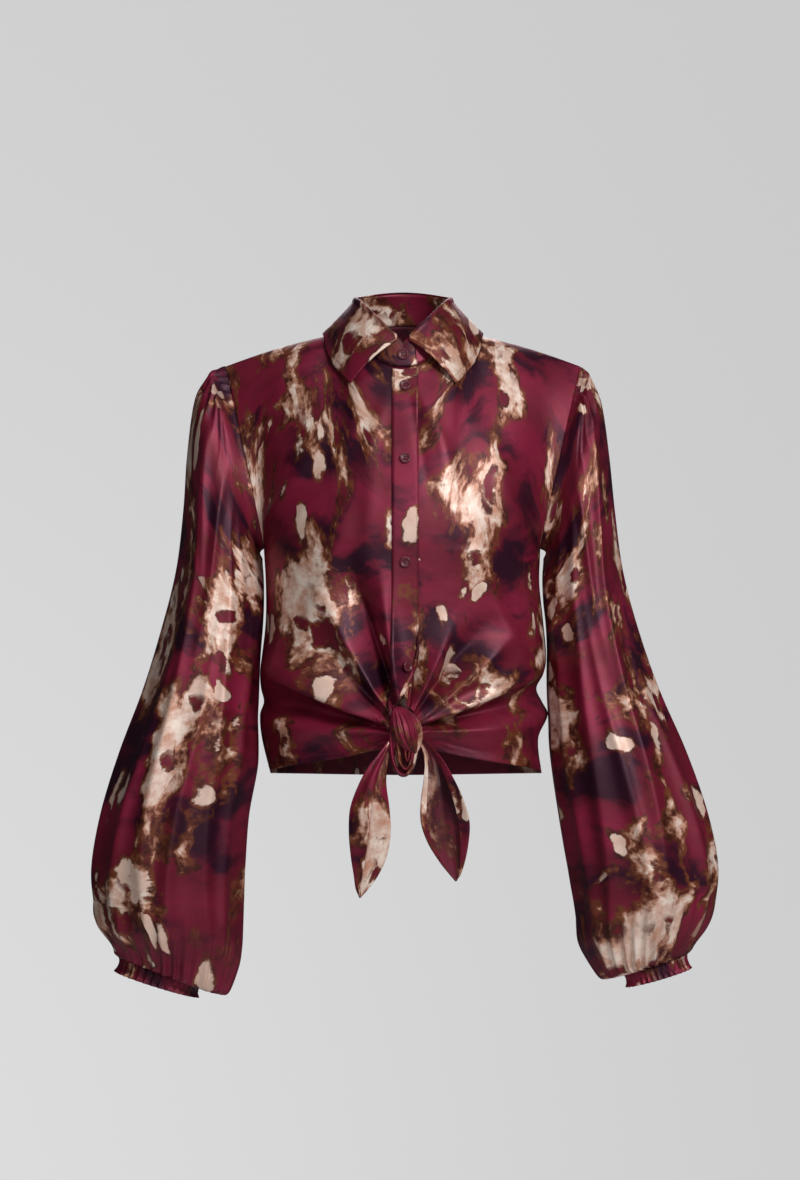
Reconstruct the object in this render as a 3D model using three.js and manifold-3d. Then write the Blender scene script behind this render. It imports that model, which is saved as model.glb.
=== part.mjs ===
import * as THREE from "three";
import Module from "manifold-3d";

// A tie-front blouse as it is worn, in millimetres. +X is the wearer's left, +Y the back, +Z up.
// The origin is on the middle plane, level with the neck ends of the shoulder seams, above the side seams.

const wasm = await Module();
wasm.setup();

// Cloth and seams
const CLOTH = 1.2;
const SEAM_GAP = 0.3;
const BAND_LIFT = CLOTH + 0.45;
const BAND_FREE = 5.2;
const QUARTER_TURN = Math.PI / 2;
const FRONT = -1;
const BACK = 1;
const WEARERS_RIGHT = -1;
const WEARERS_LEFT = 1;

// Neckline, shoulders and armholes
const NECK = { halfWidth: 66, front: 72, back: 60, sideZ: 2, frontZ: -37, backZ: 12, curve: 2.4 };
const SHOULDER_TIP = { x: 186, z: -33, rise: 3 };
const UNDERARM_Z = -225;
const NECK_SHARE = 0.34;

// Body below the underarm: half widths on both sides and depths from the side seam plane
const BODY = table(["z", "right", "left", "front", "back"], [
  [-225, 146, 144, 121, 103],
  [-260, 144, 143, 119, 99],
  [-300, 144, 147, 116, 95],
  [-338, 148, 150, 112, 94],
  [-356, 150, 147, 109, 93],
  [-371, 149, 140, 106, 92],
  [-385, 146, 146, 105, 92],
  [-398, 150, 152, 105, 93],
  [-423, 148, 142, 106, 96],
  [-464, 138, 146, 109, 101],
]);
const BODY_SQUARENESS = 2.3;
const HEM = { sideZ: -460, backZ: -466, curve: 0.8 };

// How each panel leaves the top edge and arrives at the underarm level, from the middle to the armhole;
// the first row lies past the middle, so that the surface crosses it smoothly
const UPPER_COLUMNS = ["across", "topX", "topY", "topZ", "lowX", "lowY", "lowZ"];
const UPPER_FRONT = table(UPPER_COLUMNS, [
  [-0.34, -3, 42, -11, 0, 3, 92],
  [0, 0, 20, -52, 0, 4, 75],
  [0.34, 3, 42, -11, 0, 3, 92],
  [0.67, 0, 50, -18, 0, 4, 96],
  [0.86, -5, 47, -34, 0, 24, 58],
  [1, -11, 42, -49, -2, 66, 10],
]);
const UPPER_BACK = table(UPPER_COLUMNS, [
  [-0.34, -3, 40, -15, 0, 6, 92],
  [0, 0, 24, -48, 0, 8, 80],
  [0.34, 3, 40, -15, 0, 6, 92],
  [0.67, 0, 46, -21, 0, 6, 96],
  [0.86, -4, 42, -35, 0, 22, 58],
  [1, -8, 38, -50, 0, 58, 10],
]);

// The knot at the centre front and the folds that run out from it; bearings turn from +X towards +Z
const KNOT = { x: 2, z: -421, halfWidth: 16, halfHeight: 34, lift: 24, spread: 20, share: 0.38, turn: 1.75 };
const FOLD_START = { z: -413, from: 18, to: 52, least: 0.25, fade: 0.5 };
const KNOT_FOLDS = table(["bearing", "height", "width", "reach"], [
  [-9, -4, 9, 130],
  [3, 6, 8, 150],
  [12, -9, 8, 170],
  [24, 12, 11, 170],
  [44, 7, 10, 150],
  [56, -5, 8, 130],
  [67, 6, 9, 120],
  [80, -4, 8, 90],
  [100, 6, 8, 170],
  [111, -8, 7, 190],
  [122, 8, 9, 150],
  [138, -3, 9, 120],
  [157, 12, 11, 170],
  [168, -9, 8, 170],
  [179, 6, 9, 150],
  [193, -4, 9, 120],
]);
const CHEST_FOLDS = table(["x", "z", "slope", "height", "width", "length"], [
  [-112, -150, 0.5, 3, 12, 60],
  [108, -165, -0.45, 3, 13, 70],
  [-70, -235, 0.2, 2.5, 12, 55],
  [82, -250, -0.25, 3, 14, 60],
]);
const BACK_FOLDS = table(["x", "z", "slope", "height", "width", "length"], [
  [-84, -330, -0.3, 5, 14, 110],
  [-30, -350, -0.1, 4, 13, 100],
  [26, -340, 0.08, 5, 14, 110],
  [80, -350, 0.25, 4, 13, 90],
  [-118, -160, -0.35, 3, 12, 60],
  [116, -165, 0.35, 3, 12, 60],
]);

// Front closing, as x at each level: where each front ends and the band that covers both edges
const CLOSING = table(["z", "rightEdge", "leftEdge", "bandRight", "bandLeft"], [
  [-30, -6.1, -5.6, -11.5, 15.7],
  [-300, -6.1, -5.6, -11.5, 15.7],
  [-335, -6.5, -5, -12, 14],
  [-362, -9, -1, -13.5, 5],
  [-382, -12, 3, -16, -5],
  [-400, -13, 5, -17, -8],
]);

// Collar: a stand on the neckline and a fall that folds down over it
const STAND = {
  halfWidth: 50, front: 66, back: 50, frontZ: -11, sideRise: 49, backRise: 8, stations: 36,
  underEnd: -0.19, overEnd: 0.22, overLift: CLOTH + 0.5, belly: 0.6, clear: 0.8,
};
const FALL = { start: 0.12, stations: 36, belly: 4 };
const FALL_ROLL = table(["out", "up"], [
  [-0.6, 1.7],
  [2.1, 0.9],
  [3.6, -4],
]);
const FALL_SHARES = [0.3, 0.65, 1];
const FALL_EDGE = table(["turn", "across", "down", "lift"], [
  [0.12, 0.22, 0.332, 4.5],
  [0.35, 0.252, 0.328, 4],
  [0.6, 0.296, 0.32, 4],
  [0.85, 0.348, 0.296, 4],
  [1.1, 0.376, 0.26, 4],
  [1.3, 0.404, 0.204, 4],
  [1.45, 0.424, 0.11, 4],
  [1.5708, 0.436, 0, 4],
  [1.9, 0.37, 0.07, 3.5],
  [2.3, 0.25, 0.09, 3.5],
  [2.7, 0.13, 0.08, 3.5],
  [3.1416, 0, 0.075, 3.5],
]);

// Sleeves: the outer and inner side of each ring, its half depth, and the height of its gathers
const SLEEVE_COLUMNS = ["outerX", "outerZ", "innerX", "innerZ", "depth", "middleY", "gather"];
const SLEEVE_LEFT = table(SLEEVE_COLUMNS, [
  [199, -44, 150, -229, 47, 0, 2],
  [209, -70, 152, -237, 54, 0, 1.3],
  [217, -124, 153, -250, 60, 0, 0.4],
  [223, -184, 154, -272, 63, -1, 0],
  [231, -247, 155, -306, 67, -2, 0],
  [247, -310, 156, -346, 72, -3, 0],
  [269, -373, 157, -392, 77, -4, 0],
  [297, -436, 159, -442, 81, -6, 0],
  [320, -499, 165, -502, 83, -7, 0.2],
  [332, -552, 172, -556, 81, -9, 0.4],
  [330, -588, 180, -606, 75, -10, 0.9],
  [319, -620, 188, -646, 63, -11, 1.7],
  [305, -640, 204, -674, 46, -12, 2.1],
  [297, -649, 231, -669, 33, -12, 1.5],
]);
const SLEEVE_RIGHT = table(SLEEVE_COLUMNS, [
  [205, -39, 150, -229, 47, 0, 2.2],
  [219, -66, 152, -237, 54, 0, 1.4],
  [227, -122, 153, -250, 60, 0, 0.4],
  [231, -184, 154, -272, 63, -1, 0],
  [238, -247, 155, -306, 67, -2, 0],
  [253, -310, 155, -346, 72, -3, 0],
  [272, -373, 155, -392, 77, -4, 0],
  [296, -436, 156, -442, 81, -6, 0],
  [316, -499, 164, -504, 83, -7, 0.2],
  [327, -556, 166, -566, 81, -9, 0.4],
  [325, -594, 168, -620, 75, -10, 0.9],
  [316, -624, 172, -664, 63, -11, 1.7],
  [303, -645, 186, -691, 46, -12, 2.1],
  [296, -653, 212, -680, 33, -12, 1.5],
]);
const SLEEVE_STEPS = 48;
const CAP_GATHERS = { turn: 1.15, rows: 4, atSeam: 1.6 };
const CUFF = table(["along", "out", "gather"], [
  [0.3, 0, 1.5],
  [5, -0.8, 0.9],
  [9, -0.4, 1.1],
  [15, 2.6, 2.4],
]);

// Ends of the tie below the knot: the middle line, the half width and how far the middle stands forward
const TIE_COLUMNS = ["x", "y", "z", "halfWidth", "ridge", "turn"];
const TIE_END_RIGHT = table(TIE_COLUMNS, [
  [-18, -133, -432, 5, 2, 0.2],
  [-25, -135, -446, 9, 4, 0.2],
  [-31, -135, -465, 14, 6, 0.1],
  [-34, -133, -490, 20, 7, 0],
  [-34, -131, -515, 21.5, 6, 0],
  [-35, -129, -540, 18.5, 5, 0],
  [-38, -127, -560, 12.5, 4, 0],
  [-42, -125, -574, 6.5, 2, 0],
  [-44, -124, -583, 1.6, 0.4, 0],
]);
const TIE_END_LEFT = table(TIE_COLUMNS, [
  [21, -133, -426, 5, -2, -0.3],
  [28, -138, -438, 9, -5, -0.3],
  [35, -139, -458, 15, -8, -0.2],
  [40, -137, -482, 22, -9, -0.1],
  [43, -134, -505, 25, -8, 0],
  [46, -131, -526, 21, -6, 0],
  [50, -128, -545, 13.5, -4, 0],
  [53, -126, -558, 6.5, -2, 0],
  [54, -125, -566, 1.6, -0.4, 0],
]);

// The two forms of the knot, each from one end of its long line to the other
const KNOT_WRAP = {
  from: [-7, -131, -391], to: [12, -135, -432], halfWidth: 13.5, halfDepth: 13, strands: 5, twist: 1.1, groove: 0.09,
};
const KNOT_LOOP = {
  from: [-2, -127.5, -417], to: [3, -129.5, -457], halfWidth: 15, halfDepth: 9, strands: 4, twist: 0.2, groove: 0.1,
};

// Buttons
const BUTTON = { radius: 5.75, rim: 2.3, dish: 1.5, bevel: 0.5, well: 3.6, segments: 16, clear: 0.5, clearOnFold: 1.5 };
const BUTTON_LEVELS = [-57, -133, -239, -346];

const CLOTH_COLOUR = 0x6f2a3c;
const BUTTON_COLOUR = 0x4a1c22;

// A table is a list of rows with named columns
function table(columns, rows) {
  return rows.map((row) => Object.fromEntries(columns.map((name, index) => [name, row[index]])));
}

// A row between two rows of a table, on a smooth curve through all of them
function rowAt(rows, key, value) {
  const rising = rows[rows.length - 1][key] > rows[0][key];
  const order = rising ? rows : [...rows].reverse();
  const held = clamp(value, order[0][key], order[order.length - 1][key]);
  let index = order.findIndex((row) => row[key] >= held);
  index = Math.max(index, 1);
  const before = order[index - 1];
  const after = order[index];
  const span = after[key] - before[key];
  const share = (held - before[key]) / span;
  const mixed = {};
  for (const name of Object.keys(before)) {
    const startSlope = slopeAt(order, key, name, index - 1) * span;
    const endSlope = slopeAt(order, key, name, index) * span;
    mixed[name] = hermite(before[name], after[name], startSlope, endSlope, share);
  }
  return mixed;
}

function slopeAt(rows, key, name, index) {
  const before = rows[Math.max(index - 1, 0)];
  const after = rows[Math.min(index + 1, rows.length - 1)];
  return (after[name] - before[name]) / (after[key] - before[key]);
}

function hermite(start, end, startSlope, endSlope, share) {
  const square = share * share;
  const cube = square * share;
  const fromStart = (2 * cube - 3 * square + 1) * start + (cube - 2 * square + share) * startSlope;
  return fromStart + (3 * square - 2 * cube) * end + (cube - square) * endSlope;
}

function clamp(value, low, high) {
  return Math.min(Math.max(value, low), high);
}

function mix(start, end, share) {
  return start + (end - start) * share;
}

function smooth(low, high, value) {
  const share = clamp((value - low) / (high - low), 0, 1);
  return share * share * (3 - 2 * share);
}

// A point of the body's outline at one level; the angle is 0 at the middle and a quarter turn at a side seam
function sectionPoint(z, angle, face) {
  const section = rowAt(BODY, "z", z);
  const halfWidth = angle < 0 ? section.right : section.left;
  const depth = face === FRONT ? section.front : section.back;
  const forward = Math.pow(Math.abs(Math.cos(angle)) / depth, BODY_SQUARENESS);
  const sideways = Math.pow(Math.abs(Math.sin(angle)) / halfWidth, BODY_SQUARENESS);
  const radius = Math.pow(forward + sideways, -1 / BODY_SQUARENESS);
  return new THREE.Vector3(radius * Math.sin(angle), face * radius * Math.cos(angle), z);
}

// The upper edge of a panel: half of the neckline, then the shoulder seam
function topPoint(across, face) {
  const far = Math.abs(across);
  const side = Math.sign(across) || 1;
  if (far <= NECK_SHARE) {
    const turn = (far / NECK_SHARE) * QUARTER_TURN;
    const depth = face === FRONT ? NECK.front : NECK.back;
    const middleZ = face === FRONT ? NECK.frontZ : NECK.backZ;
    const z = NECK.sideZ + (middleZ - NECK.sideZ) * Math.pow(Math.cos(turn), NECK.curve);
    return new THREE.Vector3(side * NECK.halfWidth * Math.sin(turn), face * depth * Math.cos(turn), z);
  }
  const share = (far - NECK_SHARE) / (1 - NECK_SHARE);
  const x = mix(NECK.halfWidth, SHOULDER_TIP.x, share);
  const z = mix(NECK.sideZ, SHOULDER_TIP.z, share) + SHOULDER_TIP.rise * Math.sin(Math.PI * share);
  return new THREE.Vector3(side * x, 0, z);
}

// From the top edge to the underarm level, with down from 0 to 1
function upperPoint(across, down, face) {
  const side = Math.sign(across) || 1;
  const controls = rowAt(face === FRONT ? UPPER_FRONT : UPPER_BACK, "across", Math.abs(across));
  const start = topPoint(across, face);
  const end = sectionPoint(UNDERARM_Z, across * QUARTER_TURN, face);
  const leave = new THREE.Vector3(side * controls.topX, face * controls.topY, controls.topZ).add(start);
  const arrive = new THREE.Vector3(side * controls.lowX, face * controls.lowY, controls.lowZ).add(end);
  return new THREE.CubicBezierCurve3(start, leave, arrive, end).getPoint(down);
}

// Where a line of the front ends: round the knot near the middle, on the hem further out
function frontEnd(across) {
  const far = Math.abs(across);
  const side = Math.sign(across) || 1;
  const turn = Math.min(far / KNOT.share, 1) * KNOT.turn;
  const x = KNOT.x + side * KNOT.halfWidth * Math.sin(turn);
  const z = KNOT.z + KNOT.halfHeight * Math.cos(turn);
  const angle = Math.atan2(x, rowAt(BODY, "z", z).front);
  const share = Math.max((far - KNOT.share) / (1 - KNOT.share), 0);
  return {
    angle: mix(angle, side * QUARTER_TURN, share),
    z: mix(z, HEM.sideZ, Math.pow(share, HEM.curve)),
  };
}

// Folds that run out from the knot
function knotFolds(x, z) {
  const distance = Math.hypot(x, z - FOLD_START.z);
  const bearing = THREE.MathUtils.radToDeg(Math.atan2(z - FOLD_START.z, x));
  const start = mix(FOLD_START.least, 1, smooth(FOLD_START.from, FOLD_START.to, distance));
  let height = 0;
  for (const fold of KNOT_FOLDS) {
    const turned = THREE.MathUtils.euclideanModulo(bearing - fold.bearing + 180, 360) - 180;
    const crest = Math.exp(-((turned / fold.width) ** 2));
    height += fold.height * crest * start * (1 - smooth(FOLD_START.fade * fold.reach, fold.reach, distance));
  }
  return height;
}

// Long soft folds that lie free of the knot
function looseFolds(folds, x, z) {
  let height = 0;
  for (const fold of folds) {
    const offLine = (x - fold.x - fold.slope * (z - fold.z)) / fold.width;
    const along = (z - fold.z) / fold.length;
    height += fold.height * Math.exp(-offLine * offLine - along * along);
  }
  return height;
}

// From the underarm level to the hem, with down from 1 to 2
function lowerPoint(across, down, face) {
  const share = down - 1;
  if (face === BACK) {
    const hemZ = mix(HEM.sideZ, HEM.backZ, Math.cos(across * QUARTER_TURN));
    return sectionPoint(mix(UNDERARM_Z, hemZ, share), across * QUARTER_TURN, face);
  }
  const end = frontEnd(across);
  const angle = mix(across * QUARTER_TURN, end.angle, Math.pow(share, 1.6));
  return sectionPoint(mix(UNDERARM_Z, end.z, share), angle, face);
}

// A point of the outside of the body, across from -1 to 1 and down from 0 to 2
function bodyPoint(across, down, face) {
  const point = down <= 1 ? upperPoint(across, down, face) : lowerPoint(across, down, face);
  const freedom = 1 - smooth(0.72, 1, Math.abs(across));
  const lifted = smooth(0, 0.3, down);
  let height = looseFolds(face === FRONT ? CHEST_FOLDS : BACK_FOLDS, point.x, point.z) * lifted;
  let forward = 0;
  if (face === FRONT) {
    height += knotFolds(point.x, point.z) * smooth(0.8, 1.2, down);
    const outline = Math.hypot((point.x - KNOT.x) / KNOT.halfWidth, (point.z - KNOT.z) / KNOT.halfHeight);
    forward = KNOT.lift * Math.exp(-(Math.max(outline, 1) - 1) * KNOT.halfWidth / KNOT.spread);
  }
  const turn = across * QUARTER_TURN;
  point.x += height * freedom * Math.sin(turn);
  point.y += face * (height * freedom * Math.cos(turn) + forward + SEAM_GAP / 2);
  return point;
}

function bodyNormal(across, down, face) {
  const step = 0.004;
  const low = Math.max(down - step, 0);
  const high = Math.min(down + step, 2);
  const sideways = bodyPoint(across + step, down, face).sub(bodyPoint(across - step, down, face));
  const downwards = bodyPoint(across, high, face).sub(bodyPoint(across, low, face));
  return sideways.cross(downwards).multiplyScalar(face).normalize();
}

// The share across at which a line down the front reaches a given x near the middle
function acrossAt(x, down) {
  let low = -0.26;
  let high = 0.26;
  for (let round = 0; round < 26; round += 1) {
    const middle = (low + high) / 2;
    if (bodyPoint(middle, down, FRONT).x < x) {
      low = middle;
    } else {
      high = middle;
    }
  }
  return (low + high) / 2;
}

// A closed wall of cloth: the rows are its outside, and the inside lies one thickness further in
function clothWall(rows, { around = false, trim = null, outward = 1 } = {}) {
  const height = rows.length;
  const width = rows[0].length;
  const outside = rows.flat();
  const inside = [];
  for (let row = 0; row < height; row += 1) {
    for (let column = 0; column < width; column += 1) {
      const normal = gridNormal(rows, row, column, around).multiplyScalar(outward);
      if (trim) {
        trim(normal, rows[row][column], row, column);
        normal.normalize();
      }
      inside.push(rows[row][column].clone().addScaledVector(normal, -CLOTH));
    }
  }
  const cellsAcross = around ? width : width - 1;
  const faces = [];
  const at = (row, column) => row * width + (column % width);
  const offset = outside.length;
  for (let row = 0; row < height - 1; row += 1) {
    for (let column = 0; column < cellsAcross; column += 1) {
      const corners = [at(row, column), at(row, column + 1), at(row + 1, column + 1), at(row + 1, column)];
      const split = (row + column) % 2;
      pushQuad(faces, corners, split);
      pushQuad(faces, corners.map((corner) => corner + offset).reverse(), split);
    }
  }
  for (const row of [0, height - 1]) {
    for (let column = 0; column < cellsAcross; column += 1) {
      const ends = row === 0 ? [column + 1, column] : [column, column + 1];
      const rim = ends.map((end) => at(row, end));
      pushQuad(faces, [rim[0], rim[1], rim[1] + offset, rim[0] + offset], 0);
    }
  }
  if (!around) {
    for (const column of [0, width - 1]) {
      for (let row = 0; row < height - 1; row += 1) {
        const ends = column === 0 ? [row, row + 1] : [row + 1, row];
        const rim = ends.map((end) => at(end, column));
        pushQuad(faces, [rim[0], rim[1], rim[1] + offset, rim[0] + offset], 0);
      }
    }
  }
  return closedGeometry([...outside, ...inside], faces);
}

function pushQuad(faces, [a, b, c, d], split) {
  if (split === 0) {
    faces.push([a, b, c], [a, c, d]);
  } else {
    faces.push([a, b, d], [b, c, d]);
  }
}

function gridNormal(rows, row, column, around) {
  const width = rows[0].length;
  const left = around ? (column + width - 1) % width : Math.max(column - 1, 0);
  const right = around ? (column + 1) % width : Math.min(column + 1, width - 1);
  const above = rows[Math.max(row - 1, 0)][column];
  const below = rows[Math.min(row + 1, rows.length - 1)][column];
  const sideways = rows[row][right].clone().sub(rows[row][left]);
  return sideways.cross(below.clone().sub(above)).normalize();
}

// A geometry from points and triangles, turned so that its faces point out
function closedGeometry(points, faces) {
  let volume = 0;
  for (const [a, b, c] of faces) {
    volume += points[a].dot(points[b].clone().cross(points[c]));
  }
  const turned = volume < 0 ? faces.map(([a, b, c]) => [a, c, b]) : faces;
  const geometry = new THREE.BufferGeometry();
  geometry.setAttribute("position", new THREE.Float32BufferAttribute(points.flatMap((point) => point.toArray()), 3));
  geometry.setIndex(turned.flat());
  geometry.computeVertexNormals();
  return geometry;
}

// Seam edges lie in the seam plane, so that the walls of two panels stay apart
function seamTrim(normal, point) {
  if (Math.abs(point.y) <= SEAM_GAP) {
    normal.y = 0;
  }
}

const UPPER_ROWS = 12;
const LOWER_ROWS = 20;
const PLACKET_TOP = 0.02;
const FRONT_STEPS = 13;
const BACK_STEPS = 20;
const PANEL_EVENNESS = 1.2;

// The levels of the rows: even above the underarm, closer together towards the knot
function panelRows() {
  const rows = [];
  for (let row = 0; row <= UPPER_ROWS; row += 1) {
    rows.push(row / UPPER_ROWS);
  }
  for (let row = 1; row <= LOWER_ROWS; row += 1) {
    rows.push(2 - Math.pow(1 - row / LOWER_ROWS, 1.15));
  }
  return rows;
}

// The x of each line of the closing at one level
function closingAt(down) {
  return rowAt(CLOSING, "z", bodyPoint(0, down, FRONT).z);
}

// The lines that a front shares with the band over it, from its free edge outwards
function closingLines(side, down) {
  const closing = closingAt(down);
  if (side === WEARERS_RIGHT) {
    return [closing.rightEdge, closing.bandRight];
  }
  return [closing.leftEdge, mix(closing.leftEdge, closing.bandLeft, 0.5), closing.bandLeft];
}

function buildFront(side) {
  const rows = panelRows().map((down) => {
    const lines = closingLines(side, down).filter((x, index, all) => index === 0 || side * (x - all[0]) > 0);
    const starts = closingStarts(side, down, lines);
    const points = starts.map((across) => bodyPoint(across, down, FRONT));
    const last = starts[starts.length - 1];
    for (let step = 1; step <= FRONT_STEPS; step += 1) {
      points.push(bodyPoint(mix(last, side, Math.pow(step / FRONT_STEPS, PANEL_EVENNESS)), down, FRONT));
    }
    return points;
  });
  return clothWall(rows, { trim: seamTrim, outward: -side });
}

// Where the band has drawn clear of a front, its lines keep a small even distance from the free edge
function closingStarts(side, down, lines) {
  const wanted = side === WEARERS_RIGHT ? 2 : 3;
  const spaced = Array.from({ length: wanted }, (_, index) => lines[index] ?? lines[0] + side * 5 * index);
  return spaced.map((x) => acrossAt(x, down));
}

function buildBack() {
  const rows = panelRows().filter((down, index) => index <= UPPER_ROWS || index % 2 === 0).map((down) => {
    const points = [];
    for (let step = 0; step <= BACK_STEPS; step += 1) {
      const across = mix(-1, 1, step / BACK_STEPS);
      points.push(bodyPoint(Math.sign(across) * Math.pow(Math.abs(across), PANEL_EVENNESS), down, BACK));
    }
    return points;
  });
  return clothWall(rows, { trim: seamTrim });
}

const STRAIGHT_FORWARD = new THREE.Vector3(0, -1, 0);

// The band stands further off where it turns into the knot
function bandLift(down) {
  return BAND_LIFT + BAND_FREE * smooth(1.38, 1.8, down);
}

function buildPlacket() {
  const rows = [PLACKET_TOP, ...panelRows().slice(1, -1)].map((down) => {
    const closing = closingAt(down);
    const middle = mix(closing.rightEdge, closing.bandLeft, 0.5);
    return [closing.bandRight, closing.rightEdge, middle, closing.bandLeft].map((x) => {
      const across = acrossAt(x, down);
      const away = bodyNormal(across, down, FRONT).lerp(STRAIGHT_FORWARD, smooth(1.2, 1.5, down)).normalize();
      return bodyPoint(across, down, FRONT).addScaledVector(away, bandLift(down));
    });
  });
  return clothWall(rows, { outward: -1 });
}

// The neckline and the upper edge of the stand; a turn of 0 is the centre front, and +X comes next
function neckPoint(turn) {
  const face = Math.cos(turn) >= 0 ? FRONT : BACK;
  const share = Math.asin(Math.abs(Math.sin(turn))) / QUARTER_TURN;
  return topPoint((Math.sign(Math.sin(turn)) || 1) * share * NECK_SHARE, face);
}

function standTop(turn) {
  const forward = Math.cos(turn);
  const depth = forward >= 0 ? STAND.front : STAND.back;
  const sideways = Math.abs(Math.sin(turn));
  const rise = forward >= 0 ? STAND.sideRise * sideways : STAND.sideRise + STAND.backRise * (1 - sideways);
  return new THREE.Vector3(STAND.halfWidth * Math.sin(turn), -depth * forward, STAND.frontZ + rise);
}

function awayFromNeck(point) {
  return new THREE.Vector3(point.x, point.y, 0).normalize();
}

function standPoint(turn, share) {
  const base = neckPoint(turn);
  base.z += STAND.clear;
  const away = awayFromNeck(base);
  const over = STAND.overLift * smooth(2 * Math.PI - 0.75, 2 * Math.PI - 0.3, turn);
  const belly = STAND.belly * Math.sin(Math.PI * share);
  return base.lerp(standTop(turn), share).addScaledVector(away, over + belly);
}

// The stand's ends are rounded at their upper corner
function buildStand() {
  const turns = evenly(STAND.underEnd, 2 * Math.PI + STAND.overEnd, STAND.stations);
  const endHeights = [0.62, 0.9];
  const rows = [0, 0.5, 1].map((share) => turns.map((turn, index) => {
    const fromEnd = Math.min(index, turns.length - 1 - index);
    return standPoint(turn, share * (endHeights[fromEnd] ?? 1));
  }));
  return clothWall(rows, { outward: facingOut(rows) });
}

function evenly(from, to, steps) {
  return Array.from({ length: steps + 1 }, (_, step) => mix(from, to, step / steps));
}

// +1 where the grid's own normal already points away from the middle of the garment
function facingOut(rows) {
  const row = Math.floor(rows.length / 2);
  const column = Math.floor(rows[0].length / 2);
  return Math.sign(gridNormal(rows, row, column, false).dot(awayFromNeck(rows[row][column])));
}

// The fall rolls over the stand's upper edge and its leaf lies just clear of the panels
function fallColumn(turn) {
  const mirrored = turn > Math.PI;
  const half = mirrored ? 2 * Math.PI - turn : turn;
  const over = STAND.overLift * smooth(0.75, 0.3, half);
  const top = standTop(half);
  const away = awayFromNeck(top);
  const points = FALL_ROLL.map((step) => {
    return top.clone().addScaledVector(away, step.out + over).add(new THREE.Vector3(0, 0, step.up));
  });
  const edge = rowAt(FALL_EDGE, "turn", half);
  const face = half < QUARTER_TURN ? FRONT : BACK;
  const down = Math.max(edge.down, 0.001);
  const end = bodyPoint(edge.across, down, face).addScaledVector(bodyNormal(edge.across, down, face), edge.lift);
  const last = points[points.length - 1];
  for (const share of FALL_SHARES) {
    const belly = FALL.belly * Math.sin(Math.PI * share);
    points.push(last.clone().lerp(end, share).addScaledVector(away, belly).add(new THREE.Vector3(0, 0, belly)));
  }
  if (mirrored) {
    points.forEach((point) => { point.x = -point.x; });
  }
  return points;
}

function buildFall() {
  const columns = evenly(FALL.start, 2 * Math.PI - FALL.start, FALL.stations).map(fallColumn);
  const rows = columns[0].map((_, row) => columns.map((column) => column[row]));
  return clothWall(rows, { outward: facingOut(rows) });
}

// A point of the armhole's edge, from the shoulder tip at 0 to the underarm at 1
function armholePoint(side, share, face) {
  const place = share * UPPER_ROWS;
  const before = bodyPoint(side, Math.floor(place) / UPPER_ROWS, face);
  const after = bodyPoint(side, Math.ceil(place) / UPPER_ROWS, face);
  return before.lerp(after, place % 1);
}

function armholeRing(side) {
  return Array.from({ length: SLEEVE_STEPS }, (_, step) => {
    const half = SLEEVE_STEPS / 2;
    const face = step <= half ? FRONT : BACK;
    const point = armholePoint(side, step <= half ? step / half : 2 - step / half, face);
    if (step % half === 0) {
      point.y = 0;
    }
    const turn = turnFromTop(step);
    const gathered = turn < CAP_GATHERS.turn && step % 2 === 1;
    const away = new THREE.Vector3(0, point.y, point.z - (SHOULDER_TIP.z + UNDERARM_Z) / 2).normalize();
    point.x += side * 2 * SEAM_GAP;
    return point.addScaledVector(away, gathered ? CAP_GATHERS.atSeam : 0);
  });
}

function turnFromTop(step) {
  const turn = (step / SLEEVE_STEPS) * 2 * Math.PI;
  return Math.min(turn, 2 * Math.PI - turn);
}

// How far a gather stands out at one step round a sleeve; its waves are uneven
function gatherWave(step, height) {
  const uneven = 0.75 + 0.25 * Math.sin(step * 1.9) * Math.cos(step * 0.7);
  return (step % 2 === 1 ? 1 : -1) * height * uneven;
}

function sleeveRing(side, section, level) {
  const outer = new THREE.Vector3(side * section.outerX, section.middleY, section.outerZ);
  const inner = new THREE.Vector3(side * section.innerX, section.middleY, section.innerZ);
  const middle = outer.clone().add(inner).multiplyScalar(0.5);
  const reach = outer.clone().sub(middle);
  return Array.from({ length: SLEEVE_STEPS }, (_, step) => {
    const turn = (step / SLEEVE_STEPS) * 2 * Math.PI;
    const spoke = reach.clone().multiplyScalar(Math.cos(turn));
    spoke.y -= section.depth * Math.sin(turn);
    const gathered = level >= CAP_GATHERS.rows || turnFromTop(step) < CAP_GATHERS.turn;
    const out = spoke.clone().normalize();
    const wave = gathered ? gatherWave(step, section.gather) : 0;
    return middle.clone().add(spoke).addScaledVector(out, wave);
  });
}

function buildSleeve(side, sections) {
  const rings = sections.map((section, index) => sleeveRing(side, section, index + 1));
  const rows = [armholeRing(side), ...rings];
  const trim = (normal, point, row) => {
    if (row === 0) {
      normal.x = 0;
    }
  };
  return clothWall(rows, { around: true, outward: side, trim });
}

// The elastic casing and its frill carry the sleeve's last ring on along its axis
function buildCuff(side, sections) {
  const last = sections[sections.length - 1];
  const across = new THREE.Vector3(last.outerX - last.innerX, 0, last.outerZ - last.innerZ).normalize();
  const axis = new THREE.Vector3(side * across.z, 0, -across.x);
  const rows = CUFF.map((step) => {
    const section = {
      ...last,
      gather: step.gather,
      outerX: last.outerX + step.out,
      innerX: last.innerX - step.out,
      depth: last.depth + step.out,
    };
    const ring = sleeveRing(side, section, sections.length);
    return ring.map((point) => point.addScaledVector(axis, step.along));
  });
  return clothWall(rows, { around: true, outward: side });
}

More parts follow.
